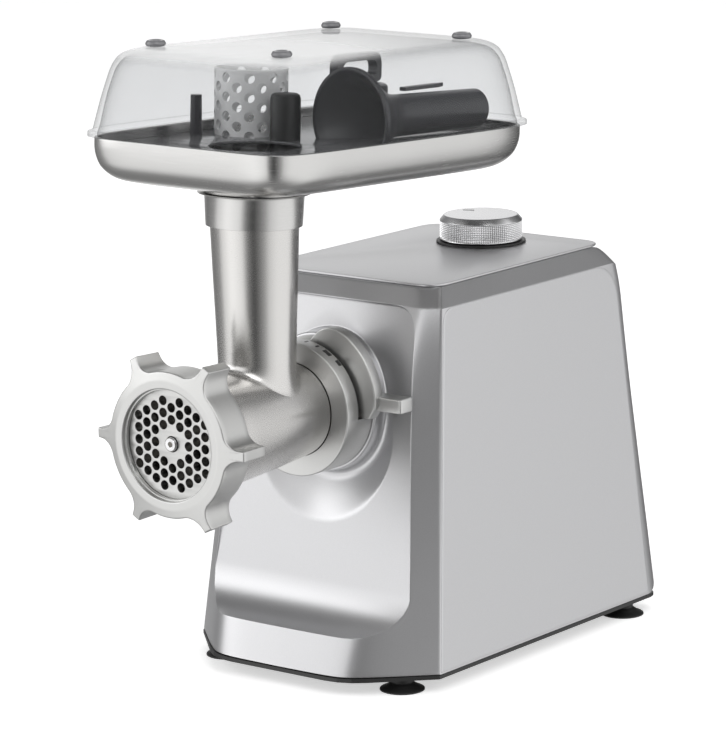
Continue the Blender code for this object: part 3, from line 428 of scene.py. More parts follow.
def makeStudio():
    # white floor and backdrop; the metal reflects a belt of soft boxes and dark gaps set out by azimuth
    v = studioValues
    scene = bpy.context.scene
    scene.view_settings.view_transform = "Standard"
    scene.world = bpy.data.worlds.new("studio")
    sky = Graph(scene.world)
    way = sky.node("ShaderNodeTexCoord", out=0)
    split = sky.node("ShaderNodeSeparateXYZ", None, way)
    outs = split.socket.node.outputs
    x, y, z = (Wire(sky, outs[place]) for place in range(3))
    turn = x.math("ARCTAN2", y, x) / (2 * math.pi) + 0.5
    stops = [(place, (light / v["strength"],) * 3) for place, light in v["belt"]]
    belt = sky.node("ShaderNodeValToRGB", {"stops": stops}, turn)
    smooth = {"interpolation_type": "SMOOTHSTEP"}
    around = belt
    for end in ("zenith", "nadir"):
        reach = sky.node("ShaderNodeMapRange", smooth, z, v[f"{end}From"], v[f"{end}To"])
        around = sky.mixColour(reach, around, (v[end] / v["strength"],) * 3)
    seen = sky.node("ShaderNodeLightPath")
    background = sky.tree.nodes["Background"]
    sky.feed(background.inputs["Color"], sky.mixColour(seen, around, (v["backdrop"],) * 3))
    background.inputs["Strength"].default_value = v["strength"]
    floorLook = Look("studio floor", Base_Color=(0.9, 0.9, 0.9), Roughness=0.8,
                     Emission_Color=(1.0, 1.0, 1.0), Emission_Strength=v["floorGlow"])
    bpy.ops.mesh.primitive_plane_add(size=40.0, location=(0, 0, 0))
    floor = bpy.context.object
    floor.name = "floor"
    floor.data.materials.append(floorLook.material)
    floor.visible_glossy = False
    addLamp("key", (1.3, -1.0, 1.9), (0, 0, 0.15), 1.6, 16)
    addLamp("left", (-1.8, -1.2, 1.0), (0, 0, 0.15), 1.2, 9, 1.8)
    addLamp("top", (-0.2, 0.6, 2.2), (0, 0, 0), 1.8, 13)
    bpy.data.objects["top"].visible_glossy = False


housingValues = {
    "baseZ": 10.0 * mm, "topZ": 209.5 * mm, "shoulderZ": 200.5 * mm,
    "edgeX": 80.4 * mm, "edgeY": -43.8 * mm, "frontY": -80.2 * mm, "backY": 166.6 * mm,
    "sideLean": 0.07, "edgeLean": 0.12, "frontLean": 0.29, "backLean": 0.08, "backTurnZ": 180.0 * mm,
    "bevelLow": 36.4 * mm, "bevelHigh": 10.0 * mm, "cornerX": 11.0 * mm, "cornerY": 12.0 * mm,
    "topX": 58.5 * mm, "topFrontY": -15.9 * mm, "topBackY": 143.3 * mm,
    "lipZ": 30.0 * mm, "scoop": 27.0 * mm, "recessY": -47.4 * mm, "recessZ": 62.0 * mm, "recessLean": 0.18,
    "recessTopZ": 200.0 * mm, "dishRadius": 45.0 * mm, "dishZ": 127.6 * mm, "dishRise": 68.0 * mm,
    "dishDepth": 12.5 * mm, "flare": 7.0 * mm, "flareY": -36.2 * mm, "bossRadius": 37.5 * mm,
    "bossY": -40.6 * mm, "boreRadius": 33.0 * mm, "boreY": -13.0 * mm, "rearInsideY": 132.0 * mm,
}


def housingForms():
    # functions for the housing's half width, front surface, recess surface and back, in x and z
    v = housingValues

    def rise(z):
        return np.clip(z - v["baseZ"], 0, v["shoulderZ"] - v["baseZ"])

    def shoulder(z):
        return np.clip((z - v["shoulderZ"]) / (v["topZ"] - v["shoulderZ"]), 0, 1)

    def sideX(z):
        x = v["edgeX"] - v["sideLean"] * rise(z)
        return x + (v["topX"] - x) * shoulder(z)

    def frontY(x, z):
        front = v["frontY"] + v["frontLean"] * rise(z)
        front = front + (v["topFrontY"] - front) * shoulder(z)
        edge = v["edgeY"] + v["edgeLean"] * rise(z)
        edge = edge + (v["topFrontY"] + 6 * mm - edge) * shoulder(z)
        reach = v["bevelLow"] + (v["bevelHigh"] - v["bevelLow"]) * rise(z) / (v["shoulderZ"] - v["baseZ"])
        slope = (edge - front) / reach
        return smoothMax(front, edge - (sideX(z) - np.abs(x)) * slope, 0.22 * (edge - front))

    def recessY(x, z):
        turnY = v["recessY"] + v["recessLean"] * (v["lipZ"] + v["scoop"] - v["recessZ"])
        turnY -= v["scoop"] * math.hypot(1, v["recessLean"])  # the plane is tangent to the curve
        plane = v["recessY"] + v["recessLean"] * (z - v["recessZ"])
        down = np.clip(1 - (z - v["lipZ"]) / v["scoop"], 0, 1)
        curve = turnY + v["scoop"] * np.sqrt(1 - down ** 2)
        tangentZ = v["lipZ"] + v["scoop"] * (1 - math.sin(math.atan(v["recessLean"])))
        sweep = np.where(z < tangentZ, curve, plane)
        up = np.maximum(z - v["dishZ"], 0) / v["dishRise"]
        wide = v["dishRadius"] * (1 - 0.33 * up ** 2)
        below = np.minimum(z - v["dishZ"], 0) / v["dishRadius"]
        q = (x / wide) ** 2 + up ** 2 + below ** 2
        fade = 1.15 + 1.0 * np.clip(up * 1.6, 0, 1)  # firm below, soft above
        return sweep + v["dishDepth"] * np.clip(1 - q, 0, 1) ** fade

    def backY(z):
        y = v["backY"] - v["backLean"] * rise(z)
        turn = np.clip((z - v["backTurnZ"]) / (v["topZ"] - v["backTurnZ"]), 0, 1)
        return y + (v["topBackY"] - y) * (1 - np.sqrt(1 - turn ** 2))

    return sideX, frontY, recessY, backY


def recessOutline(steps=14):
    v = housingValues
    low, high = v["lipZ"], v["recessTopZ"]

    def half(z):
        return (64.6 - 0.085 * (z / mm - 62)) * mm

    corners = [(half(low), low), (half(high), high), (-half(high), high), (-half(low), low)]
    return softPath(corners, [20 * mm, 14 * mm, 14 * mm, 20 * mm], steps, closed=True)


def alongRay(outline, angle, centre):
    # distance from a centre to a closed outline along each angle
    points = outline - centre
    turn = np.unwrap(np.arctan2(points[:, 1], points[:, 0]))
    if turn[-1] < turn[0]:
        points, turn = points[::-1], turn[::-1]
    ends = np.roll(points, -1, 0)
    direction = np.stack([np.cos(angle), np.sin(angle)], -1)
    edge = ends - points

    def cross(first, second):
        return first[..., 0] * second[..., 1] - first[..., 1] * second[..., 0]

    side = cross(direction[:, None], edge[None])
    side = np.where(side == 0, 1e-12, side)
    reach = cross(points, edge)[None] / side
    share = cross(points[None], direction[:, None]) / side
    good = (reach > 0) & (share >= -1e-6) & (share <= 1 + 1e-6)
    return np.where(good, reach, np.inf).min(1)


def housingShell(material):
    # one surface of rings round the head's axis: bore, boss, dish, recess, its edge, frame, sides and back
    v = housingValues
    sideX, frontY, recessY, backY = housingForms()
    centre = np.array([0.0, headZ])
    outline = recessOutline()
    zs = np.concatenate([np.linspace(v["baseZ"], v["shoulderZ"], 60), [v["topZ"]]])
    right = np.stack([sideX(zs), zs], -1)
    border = np.concatenate([right, right[::-1] * [-1, 1]])
    angles = np.concatenate([np.linspace(-np.pi, np.pi, 361)[:-1], np.arctan2(*(outline - centre).T[::-1]),
                             np.arctan2(*(border[[0, 59, 60, 61, 62, 121]] - centre).T[::-1])])
    angles = np.unique(np.round(angles, 5))
    inner, outer = alongRay(outline, angles, centre), alongRay(border, angles, centre)
    c, s = np.cos(angles), np.sin(angles)

    def ring(radius, y):
        radius = np.broadcast_to(radius, c.shape)
        x, z = radius * c, centre[1] + radius * s
        depth = y(x, z) if callable(y) else np.broadcast_to(y, c.shape)
        return np.stack([x, depth, z], -1)

    def sunk(x, z):
        return np.maximum(recessY(x, z), frontY(x, z))

    rings = [ring(v["boreRadius"], v["boreY"])]
    boss = softPath([(v["boreRadius"], v["boreY"]), (v["boreRadius"], v["bossY"]),
                     (v["bossRadius"], v["bossY"]), (v["bossRadius"] + 0.6 * mm, -30 * mm)],
                    [0, 0.8 * mm, 1.4 * mm, 0], 4)
    rings += [ring(radius, y) for radius, y in boss[1:-1]]
    foot = v["bossRadius"] + 0.5 * mm
    above = np.clip((s + 0.25) / 0.7, 0, 1)
    above = above * above * (3 - 2 * above)  # the flare dies out over the boss
    flare = v["flare"] * (1 - 0.85 * above)
    stand = np.maximum(0.5 * mm, sunk(*edgePoint(foot, c, s, centre)) - v["flareY"]) * (1 - 0.9 * above)
    for step in np.linspace(0, 1, 16):
        radius = foot + flare * step ** 1.8
        rings.append(ring(radius, lambda x, z, lift=stand * (1 - step) ** 2.2: sunk(x, z) - lift))
    start = foot + flare + 0.3 * mm
    for step in np.linspace(0.012, 1, 84):
        part = 1 - (1 - step) ** 1.7
        radius = start + (inner - 1.6 * mm - start) * part
        rings.append(ring(radius, sunk))
    drop = sunk(*edgePoint(inner, c, s, centre)) - frontY(*edgePoint(inner, c, s, centre))
    for step in np.linspace(0, 1, 6)[1:]:
        lift = np.maximum(drop, 0) * (1 - math.sqrt(1 - step ** 2)) * 0.3
        rings.append(ring(inner - 1.6 * mm * (1 - step) - 0.2 * mm * step,
                          lambda x, z, lift=lift: sunk(x, z) - lift))
    soft = np.minimum(1.0 * mm, 0.6 * np.maximum(drop, 0) + 0.05 * mm)
    rings.append(ring(inner - 0.05 * mm, lambda x, z: frontY(x, z) + soft))
    for step in np.linspace(0, 1, 6)[1:]:
        angle = step * np.pi / 2
        rings.append(ring(inner - 0.05 * mm + soft * (1 - math.cos(angle)),
                          lambda x, z, lift=soft * (1 - math.sin(angle)): frontY(x, z) + lift))
    start = inner + soft
    for step in np.linspace(0.03, 1, 18):
        rings.append(ring(start + (outer - 0.7 * mm - start) * step, frontY))
    edgeY = frontY(*edgePoint(outer, c, s, centre))
    rings.append(ring(outer - 0.3 * mm, edgeY + 0.06 * mm))
    rings.append(ring(outer - 0.06 * mm, edgeY + 0.3 * mm))
    rings.append(ring(outer, edgeY + 0.8 * mm))
    far = backY(centre[1] + outer * s)
    for step in np.linspace(0, 1, 14)[1:]:
        rings.append(ring(outer, edgeY + 0.8 * mm + (far - v["cornerY"] - edgeY - 0.8 * mm) * step))
    for angle in np.linspace(0, np.pi / 2, 9)[1:]:
        rings.append(ring(outer - v["cornerX"] * (1 - math.cos(angle)),
                          far - v["cornerY"] * (1 - math.sin(angle))))
    rear = rearOutline(0.4 * mm)
    hole = alongRay(rear, angles, centre)
    for step in np.linspace(0, 1, 5)[1:]:
        radius = outer - v["cornerX"] + (hole - outer + v["cornerX"]) * step
        rings.append(ring(radius, lambda x, z: backY(z)))
    rings.append(ring(hole - 0.3 * mm, lambda x, z: backY(z) - 0.4 * mm))
    rings.append(ring(hole - 0.3 * mm, lambda x, z: backY(z) - 3.2 * mm))
    rings.append(ring(hole - 0.3 * mm, v["rearInsideY"]))
    addPiece("housing_fine", gridMesh("housing_fine", np.array(rings), sharp=28), material,
             "housing", ["housing_shell"])


def edgePoint(radius, c, s, centre):
    return radius * c, centre[1] + radius * s


def rearOutline(grow):
    corners = [(52 * mm + grow, 26 * mm - grow), (46 * mm + grow, 176 * mm + grow),
               (-46 * mm - grow, 176 * mm + grow), (-52 * mm - grow, 26 * mm - grow)]
    return softPath(corners, [6 * mm, 10 * mm, 10 * mm, 6 * mm], 6, closed=True)


def sidePanels(material):
    # two thin sheets on the leaning sides, with rounded upper corners and soft edges
    v = housingValues
    low, high = 10.9 * mm, v["shoulderZ"] - 0.2 * mm

    def frontAt(z):
        return v["edgeY"] + v["edgeLean"] * (z - v["baseZ"]) + 1.1 * mm

    def backAt(z):
        return v["backY"] - v["backLean"] * (z - v["baseZ"]) - v["cornerX"]

    corners = [(frontAt(low), low), (backAt(low), low), (backAt(high), high), (frontAt(high), high)]
    outline = softPath(corners, [1 * mm, 1 * mm, 20 * mm, 9 * mm], 12, closed=True)
    middle = outline.mean(0)
    for side, title in ((-1, "left"), (1, "right")):
        rings = []
        for shrink, depth in ((0, -1.0), (0, 0.05), (0.12, 0.22), (0.4, 0.3), (2.0, 0.3)):
            reach = outline - middle
            length = np.linalg.norm(reach, axis=1, keepdims=True)
            flat = middle + reach * (1 - shrink * mm / length)
            x = v["edgeX"] - v["sideLean"] * (flat[:, 1] - v["baseZ"]) + depth * mm
            rings.append(np.stack([side * x, flat[:, 0], flat[:, 1]], -1))
        mesh = gridMesh(f"side_sheet_{title}", np.array(rings))
        addPiece(f"side_sheet_{title}", mesh, material, "housing", [f"side_panel_{title}"])


def topPanel(material):
    # a flat plate with rounded corners and a round hole under the knob
    v = housingValues
    corners = [(v["topX"], v["topBackY"]), (-v["topX"], v["topBackY"]), (-v["topX"], v["topFrontY"]),
               (v["topX"], v["topFrontY"])]
    outline = softPath(corners, 14 * mm, 12, closed=True)
    low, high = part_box("top_panel")
    hole = ringOf(20 * mm, 64, (0.0, knobY()))
    mesh = plateMesh("top_plate", [outline, hole], low[2], high[2], 0.35 * mm)
    addPiece("top_plate", mesh, material, "housing", ["top_panel"])


def knobY():
    low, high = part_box("speed_knob")
    return (low[1] + high[1]) / 2


knobValues = {"grooves": 10, "ribs": 120, "ribDepth": 0.34 * mm, "grooveDepth": 0.26 * mm}


def speedKnob(steel, dark):
    # a turned knob: ribs and grooves are waves on its side; chamfer and top are left smooth
    v = knobValues
    low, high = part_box("speed_knob")
    radius, bottom, top = (high[0] - low[0]) / 2, low[2], high[2]
    sideTop = top - 2.9 * mm
    heights = np.linspace(bottom + 0.8 * mm, sideTop - 0.3 * mm, 110)
    share = (heights - heights[0]) / (heights[-1] - heights[0])
    wave = np.clip(np.cos(2 * np.pi * v["grooves"] * share), -0.3, 1)
    fade = np.clip(np.minimum(share, 1 - share) * 20, 0, 1)
    count = v["ribs"] * 6
    angle = np.arange(count) * 2 * np.pi / count
    rib = np.abs(np.cos(angle * v["ribs"] / 2))
    side = radius - v["grooveDepth"] * (1 - wave)[:, None] * 0.5
    side = side - v["ribDepth"] * (rib[None, :] * fade[:, None])
    foot = [(radius - 1.6 * mm, bottom), (radius - 0.5 * mm, bottom), (radius, bottom + 0.4 * mm)]
    head = softPath([(radius, sideTop - 0.1 * mm), (radius, sideTop), (radius - 2.5 * mm, top),
                     (1.0 * mm, top - 0.25 * mm)], [0, 0.3 * mm, 0.5 * mm, 0], 4)

    def flat(points):
        points, shape = np.asarray(points), (len(points), count)
        return np.broadcast_to(points[:, :1], shape), np.broadcast_to(points[:, 1:], shape)

    footR, footZ = flat(foot)
    headR, headZs = flat(head)
    radii = np.concatenate([footR, side, headR])
    levels = np.concatenate([footZ, np.broadcast_to(heights[:, None], side.shape), headZs])
    grid = np.stack([radii * np.cos(angle), knobY() + radii * np.sin(angle), levels], -1)
    addPiece("knob_fine", gridMesh("knob_fine", grid, sharp=30), steel, "knob", ["speed_knob"])
    dash = millimetrePath([(-3.2, -0.5), (3.2, -0.5), (3.2, 0.5), (-3.2, 0.5)], 0.45, 4, closed=True)
    turn = math.radians(205)
    spin = np.array([[math.cos(turn), math.sin(turn)], [-math.sin(turn), math.cos(turn)]])
    dash = dash @ spin + np.array([math.cos(turn) * 14 * mm, knobY() - math.sin(turn) * 14 * mm])
    mesh = plateMesh("knob_mark", [dash], top - 0.6 * mm, top + 0.02 * mm, 0.02 * mm)
    addPiece("knob_mark", mesh, dark, "knob")


nutValues = {"radius": 38.0 * mm, "lugRadius": 48.3 * mm, "lugs": 6, "turn": -0.5, "tipAngle": 3.2,
             "footAngle": 13.5, "edge": 0.7 * mm, "tipRound": 2.3 * mm, "slope": 0.22,
             "flatRadius": 33.5 * mm}


def nutOutline():
    # Six lugs: from foot to tip the radius grows as blend^1.5 while the half angle closes as 1-(1-blend)^2.4
    v = nutValues
    blend = np.linspace(0, 1, 13)
    half = v["footAngle"] + (v["tipAngle"] - v["footAngle"]) * (1 - (1 - blend) ** 2.4)
    radius = v["radius"] + (v["lugRadius"] - v["radius"]) * blend ** 1.5
    points, corner = [], []
    for lug in range(v["lugs"]):
        middle = 60.0 * lug + v["turn"]
        between = np.linspace(v["footAngle"], 60 - v["footAngle"], 12)[1:-1]
        degrees = np.concatenate([middle - half, middle + half[::-1], middle + between])
        reach = np.concatenate([radius, radius[::-1], np.full(10, v["radius"])])
        angle = np.radians(degrees)
        points.append(np.stack([reach * np.cos(angle), reach * np.sin(angle)], -1))
        corner += [v["tipRound"] if place in (12, 13) else 0.0 for place in range(len(degrees))]
    return softPath(np.concatenate(points), corner, 6, closed=True)


def ringNut(material):
    # rings from the mouth over the front face and the lugs to the back, and home through the thread
    v = nutValues
    low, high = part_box("ring_nut")
    front, back, edge = low[1], high[1], v["edge"]
    outline = nutOutline()
    away = outline / np.linalg.norm(outline, axis=1, keepdims=True)

    def at(flat, y):
        return np.stack([flat[:, 0], np.full(len(flat), y), flat[:, 1] + headZ], -1)

    rings = [at(away * r * mm, front + d * mm) for r, d in
             ((28.4, 4.4), (28.4, 2.7), (28.5, 2.5), (29.1, 2.4), (29.2, 2.2), (29.2, 0.5), (29.35, 0.2),
              (29.7, 0.0), (30.2, 0.0), (32.8, 0.0), (33.5, 0.0), (34.2, 0.16))]
    inner = inwards(outline, edge * 1.4)

    def fall(flat):
        return v["slope"] * np.maximum(np.linalg.norm(flat, axis=1) - v["flatRadius"], 0)

    def sloped(flat, drop):
        ring = at(flat, front)
        ring[:, 1] += fall(flat) + drop
        return ring

    for share in (0.3, 0.65, 1.0):
        rings.append(sloped(away * 34.2 * mm * (1 - share) + inner * share, 0.0))
    for angle in np.linspace(0.15, np.pi / 2, 5):
        rings.append(sloped(inwards(outline, edge * (1 - math.sin(angle))), edge * (1 - math.cos(angle))))
    for share in np.linspace(0, 1, 8)[1:-1]:
        ring = at(outline * (1 - 0.012 * share), 0.0)
        ring[:, 1] = (front + edge + fall(outline)) * (1 - share) + (back - edge) * share
        rings.append(ring)
    for angle in np.linspace(0, np.pi / 2, 5):
        rings.append(at(inwards(outline * 0.988, edge * (1 - math.cos(angle))),
                        back - edge * (1 - math.sin(angle))))
    rings += [at(away * r * mm, y) for r, y in ((35.0, back), (34.2, back), (33.9, back - 0.3 * mm),
                                               (33.9, front + 4.4 * mm), (31.5, front + 4.4 * mm))]
    addPiece("ring_nut_fine", gridMesh("ring_nut_fine", np.array(rings), loop=True, sharp=38), material,
             "nut", ["ring_nut"])


plateValues = {"hole": 2.5 * mm, "pitch": 6.3 * mm, "inner": 7.6 * mm, "outer": 26.8 * mm, "eye": 4.2 * mm}


def perforatedPlate(material):
    # holes on a triangular grid of columns, with the middle left out round the pin's eye
    v = plateValues
    low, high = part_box("perforated_plate")
    outlines = [ringOf((high[0] - low[0]) / 2, 96), ringOf(v["eye"], 32)]
    for column in range(-4, 5):
        for row in range(-4, 5):
            spot = (column * v["pitch"] * math.sqrt(3) / 2, (row + 0.5 * (column % 2)) * v["pitch"])
            if v["inner"] < math.hypot(*spot) < v["outer"] and abs(spot[1]) < 3.6 * v["pitch"]:
                outlines.append(ringOf(v["hole"], 24, spot))
    mesh = plateMesh("plate_fine", outlines, low[1], high[1], 0.12 * mm, "Y", (0, 0, headZ))
    addPiece("plate_fine", mesh, material, "head", ["perforated_plate"])


def screwPin(material):
    # the auger's nose pin, with a soft rim and a centre dimple
    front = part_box("auger")[0][1]
    profile = [(0.05, 1.2), (0.8, 0.9), (1.5, -0.1), (2.3, -0.3), (3.2, -0.2), (3.7, 0.3), (3.75, 0.8),
               (3.75, 4.0)]
    profile = [(radius * mm, front + y * mm) for radius, y in profile]
    mesh = gridMesh("pin_fine", turnedGrid(profile, 48, (0, 0, headZ), "Y"))
    addPiece("pin_fine", mesh, material, "screw")


headValues = {"tubeBore": 18.2 * mm, "tubeFoot": 20.45 * mm}


def barrelRadius(y):
    stations = np.array([-157.1, -146.5, -143.0, -130.0, -92.4, -62.9, -38.5]) * mm
    radii = np.array([33.6, 33.6, 30.0, 29.5, 27.4, 25.0, 24.6]) * mm
    return np.interp(y, stations, radii)


def helperPiece(name, mesh):
    obj = bpy.data.objects.new(name, mesh)
    bpy.context.scene.collection.objects.link(obj)
    return obj


def bakeCut(obj, cutter):
    # cuts holes that no grid of rings can take, keeps the result as the mesh, and removes the helper
    boolean = obj.modifiers.new("hole", "BOOLEAN")
    boolean.object = cutter
    boolean.operation = "DIFFERENCE"
    boolean.solver = "EXACT"
    cutter.hide_render = True
    cutter.display_type = "WIRE"
    depsgraph = bpy.context.evaluated_depsgraph_get()
    mesh = bpy.data.meshes.new_from_object(obj.evaluated_get(depsgraph))
    obj.modifiers.clear()
    obj.data = mesh
    bpy.data.objects.remove(cutter)
    mesh.set_sharp_from_angle(angle=math.radians(30))


def grindingHead(material):
    # the barrel is turned and bored; the tube's foot flares on to it in a fillet, tangent to both
    v = headValues
    outer = millimetrePath([(32.0, -157.1), (33.6, -156.1), (33.6, -146.5), (30.0, -143.2), (29.5, -130),
                            (27.4, -92.4), (25.1, -62.9), (24.6, -62.3), (24.6, -38.7)],
                           [0, 0.6, 0.8, 1.6, 4, 0, 0.2, 0.2, 0])
    inner = np.array([(11.3, -38.5), (11.3, -42.6), (22.6, -42.6), (22.6, -150.6), (31.6, -150.6),
                      (31.6, -157.1)]) * mm
    grid = turnedGrid(np.concatenate([outer, inner]), 128, (0, 0, headZ), "Y")
    barrel = addPiece("barrel_fine", gridMesh("barrel_fine", grid, loop=True, sharp=30), material, "head",
                      ["head_casting"])
    bore = turnedGrid([(v["tubeBore"], headZ), (v["tubeBore"], headZ + 60 * mm)], 96, (0, tubeY, 0))
    bakeCut(barrel, helperPiece("feed_bore", gridMesh("feed_bore", bore)))
    count = 128
    angle = np.arange(count) * 2 * np.pi / count
    c, s = np.cos(angle), np.sin(angle)
    foot, rings = v["tubeFoot"], []
    flare = (4.2 - 1.7 * np.abs(c)) * mm
    height = (4.2 + 6.5 * np.abs(c) ** 1.5) * mm

    def onBarrel(radius, lift):
        x, y = radius * c, tubeY + radius * s
        return np.stack([x, y, headZ + np.sqrt(np.maximum(barrelRadius(y) ** 2 - x ** 2, 0)) + lift], -1)

    rings.append(onBarrel(np.full(count, v["tubeBore"]), -1.5 * mm))
    rings.append(onBarrel(foot + flare * 1.03, -0.6 * mm))
    for turn in np.linspace(0, np.pi / 2, 13):
        rings.append(onBarrel(foot + flare * (1 - math.sin(turn)), height * (1 - math.cos(turn))))
    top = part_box("head_casting")[1][2]
    wall = [(20.6, 184), (21.2, 200), (22.1, 222), (22.9, 244), (23.1, 249), (23.4, top / mm - 0.7),
            (23.0, top / mm - 0.1), (22.6, top / mm), (18.7, top / mm), (18.2, top / mm - 0.5)]
    for radius, z in wall:
        rings.append(np.stack([radius * mm * c, tubeY + radius * mm * s, np.full(count, z * mm)], -1))
    addPiece("tube_fine", gridMesh("tube_fine", np.array(rings), loop=True, sharp=40), material, "head")


collarValues = {"bore": 25.1 * mm, "radius": 36.0 * mm, "slotStart": -4.8, "slotEnd": 196.0,
                "slotFront": -53.2 * mm, "slotBack": -42.9 * mm, "slotFloor": 29.6 * mm,
                "sideBack": -40.9 * mm, "edge": 0.7 * mm}


def socketCollar(material, dark):
    # a turned ring; inside the slot's angles its side drops to the slot's floor
    v = collarValues
    low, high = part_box("socket_collar")
    front, back = low[1], high[1]
    start, end = v["slotStart"], v["slotEnd"]
    degrees = np.concatenate([np.linspace(start, end, 150), [start - 0.12, end + 0.12],
                              np.linspace(end + 1, start + 359, 90)])
    angle = np.radians(np.sort(degrees))
    c, s = np.cos(angle), np.sin(angle)
    inSlot = (np.degrees(angle) > start - 0.01) & (np.degrees(angle) < end + 0.01)
    outerBack, edge = v["sideBack"], v["edge"]

    def at(radius, y):
        radius = np.broadcast_to(radius, angle.shape)
        return np.stack([radius * c, np.full(len(angle), y), headZ + radius * s], -1)

    floor = np.where(inSlot, v["slotFloor"], v["radius"])
    rings = [at(v["bore"], back), at(v["bore"], front + 0.4 * mm), at(v["bore"] + 0.3 * mm, front),
             at(v["bore"] + 0.8 * mm, front), at(v["radius"] - 1.4 * edge, front)]
    for turn in np.linspace(0, np.pi / 2, 5):
        rings.append(at(v["radius"] - edge * (1 - math.sin(turn)), front + edge * (1 - math.cos(turn))))
    rings += [at(v["radius"], v["slotFront"] - 0.3 * mm), at(v["radius"] - 0.1 * mm * inSlot, v["slotFront"]),
              at(floor, v["slotFront"] + 0.05 * mm), at(floor, v["slotBack"] - 0.05 * mm),
              at(v["radius"] - 0.1 * mm * inSlot, v["slotBack"]), at(v["radius"], v["slotBack"] + 0.3 * mm),
              at(v["radius"], outerBack - 0.4 * mm), at(v["radius"] - 0.4 * mm, outerBack),
              at(32.4 * mm, outerBack), at(32.4 * mm, back)]
    addPiece("collar_fine", gridMesh("collar_fine", np.array(rings), loop=True, sharp=30), material,
             "housing", ["socket_collar"])
    marks = (("mark_closed", 70, 84, -57.6, -54.6), ("mark_middle", 56, 64, -57.4, -54.2),
             ("mark_open", 44, 50, -56.2, -53.6))
    for name, first, last, near, far in marks:
        outline = softPath([(near, first), (far, first), (far, last), (near, last)], 0.5, 4, closed=True)
        rings = []
        for grow, radius in ((1.0, 35.7), (1.0, 36.04), (0.9, 36.08)):
            flat = outline.mean(0) + (outline - outline.mean(0)) * grow
            turn = np.radians(flat[:, 1])
            rings.append(np.stack([radius * mm * np.cos(turn), flat[:, 0] * mm,
                                   headZ + radius * mm * np.sin(turn)], -1))
        addPiece(name, gridMesh(name, np.array(rings)), dark, "housing")


# the lever's outer edge as (degrees from +X towards +Z, radius in millimetres)
leverEdge = ((-4, 40.0), (2, 44.8), (16, 46.6), (40, 47.8), (60, 48.0), (70, 46.6), (78, 43.0), (84, 38.0),
             (88, 33.0))


def lockLever(material):
    # a crescent round the head's axis, with a bevelled tab at its lower end
    front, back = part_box("lock_lever")[0][1], -43.5 * mm
    degrees = np.linspace(-4, 88, 60)
    stations, reaches = zip(*leverEdge)
    smooth = np.linspace(-5, 5, 11)
    outer = np.mean([np.interp(degrees + shift, stations, reaches) for shift in smooth], 0) * mm
    angle = np.radians(degrees)
    outline = np.concatenate([np.stack([outer * np.cos(angle), outer * np.sin(angle)], -1),
                              30.4 * mm * np.stack([np.cos(angle), np.sin(angle)], -1)[::-1]])
    corner = np.zeros(len(outline))
    corner[[0, 59, 60, 119]] = 1.5 * mm
    outline = softPath(outline, corner, 4, closed=True)
    crescent = softPrism("lever_fine", outline, front, back, 0.8 * mm, "Y", (0, 0, headZ))
    addPiece("lever_fine", crescent, material, "lever", ["lock_lever"])
    tab = [(37.5, -47.8), (59.6, -47.8), (59.6, -37.0), (39.2, -37.0), (39.0, -43.6), (37.5, -43.8)]
    tab = millimetrePath(tab, [0.3, 1.6, 1.6, 0.8, 0.5, 0.2], closed=True)
    addPiece("tab_fine", softPrism("tab_fine", tab, 148.0 * mm, 155.6 * mm, 0.8 * mm), material, "lever")


trayValues = {"lean": -2.5, "pivotZ": 257.0 * mm, "back": 44.7 * mm, "halfX": 69.2 * mm, "halfY": 107.2 * mm,
              "power": 9.0, "taper": 0.03, "columns": 400}


def leanBack(points):
    # turns points back about the middle of the neck
    pivot = np.array([0, tubeY, trayValues["pivotZ"]])
    turn = np.array(Matrix.Rotation(math.radians(trayValues["lean"]), 3, "X"))
    return (points - pivot) @ turn.T + pivot


def leanMesh(mesh):
    pivot = Matrix.Translation((0, tubeY, trayValues["pivotZ"]))
    mesh.transform(pivot @ Matrix.Rotation(math.radians(trayValues["lean"]), 4, "X") @ pivot.inverted())
    return mesh


def trayRing(inset, z):
    # superellipse |x/a|^9 + |y/b|^9 = 1 by polar angle, a little wider towards the back
    v = trayValues
    angle = (np.arange(v["columns"]) + 0.5) * 2 * np.pi / v["columns"]
    c, s = np.cos(angle), np.sin(angle)
    a, b = v["halfX"] - inset, v["halfY"] - inset
    radius = (np.abs(c / a) ** v["power"] + np.abs(s / b) ** v["power"]) ** (-1 / v["power"])
    y = radius * s
    return np.stack([radius * c * (1 + v["taper"] * y / v["halfY"]), tubeY + v["back"] + y,
                     np.broadcast_to(z, c.shape)], -1)


def neckRing(radius, z):
    # a circle round the tube whose points keep to the tray's polar angles about the tray's middle
    ring = trayRing(40 * mm, z)
    turn = np.arctan2(ring[:, 1] - tubeY, ring[:, 0])
    return np.stack([radius * np.cos(turn), tubeY + radius * np.sin(turn), np.full(len(turn), z)], -1)


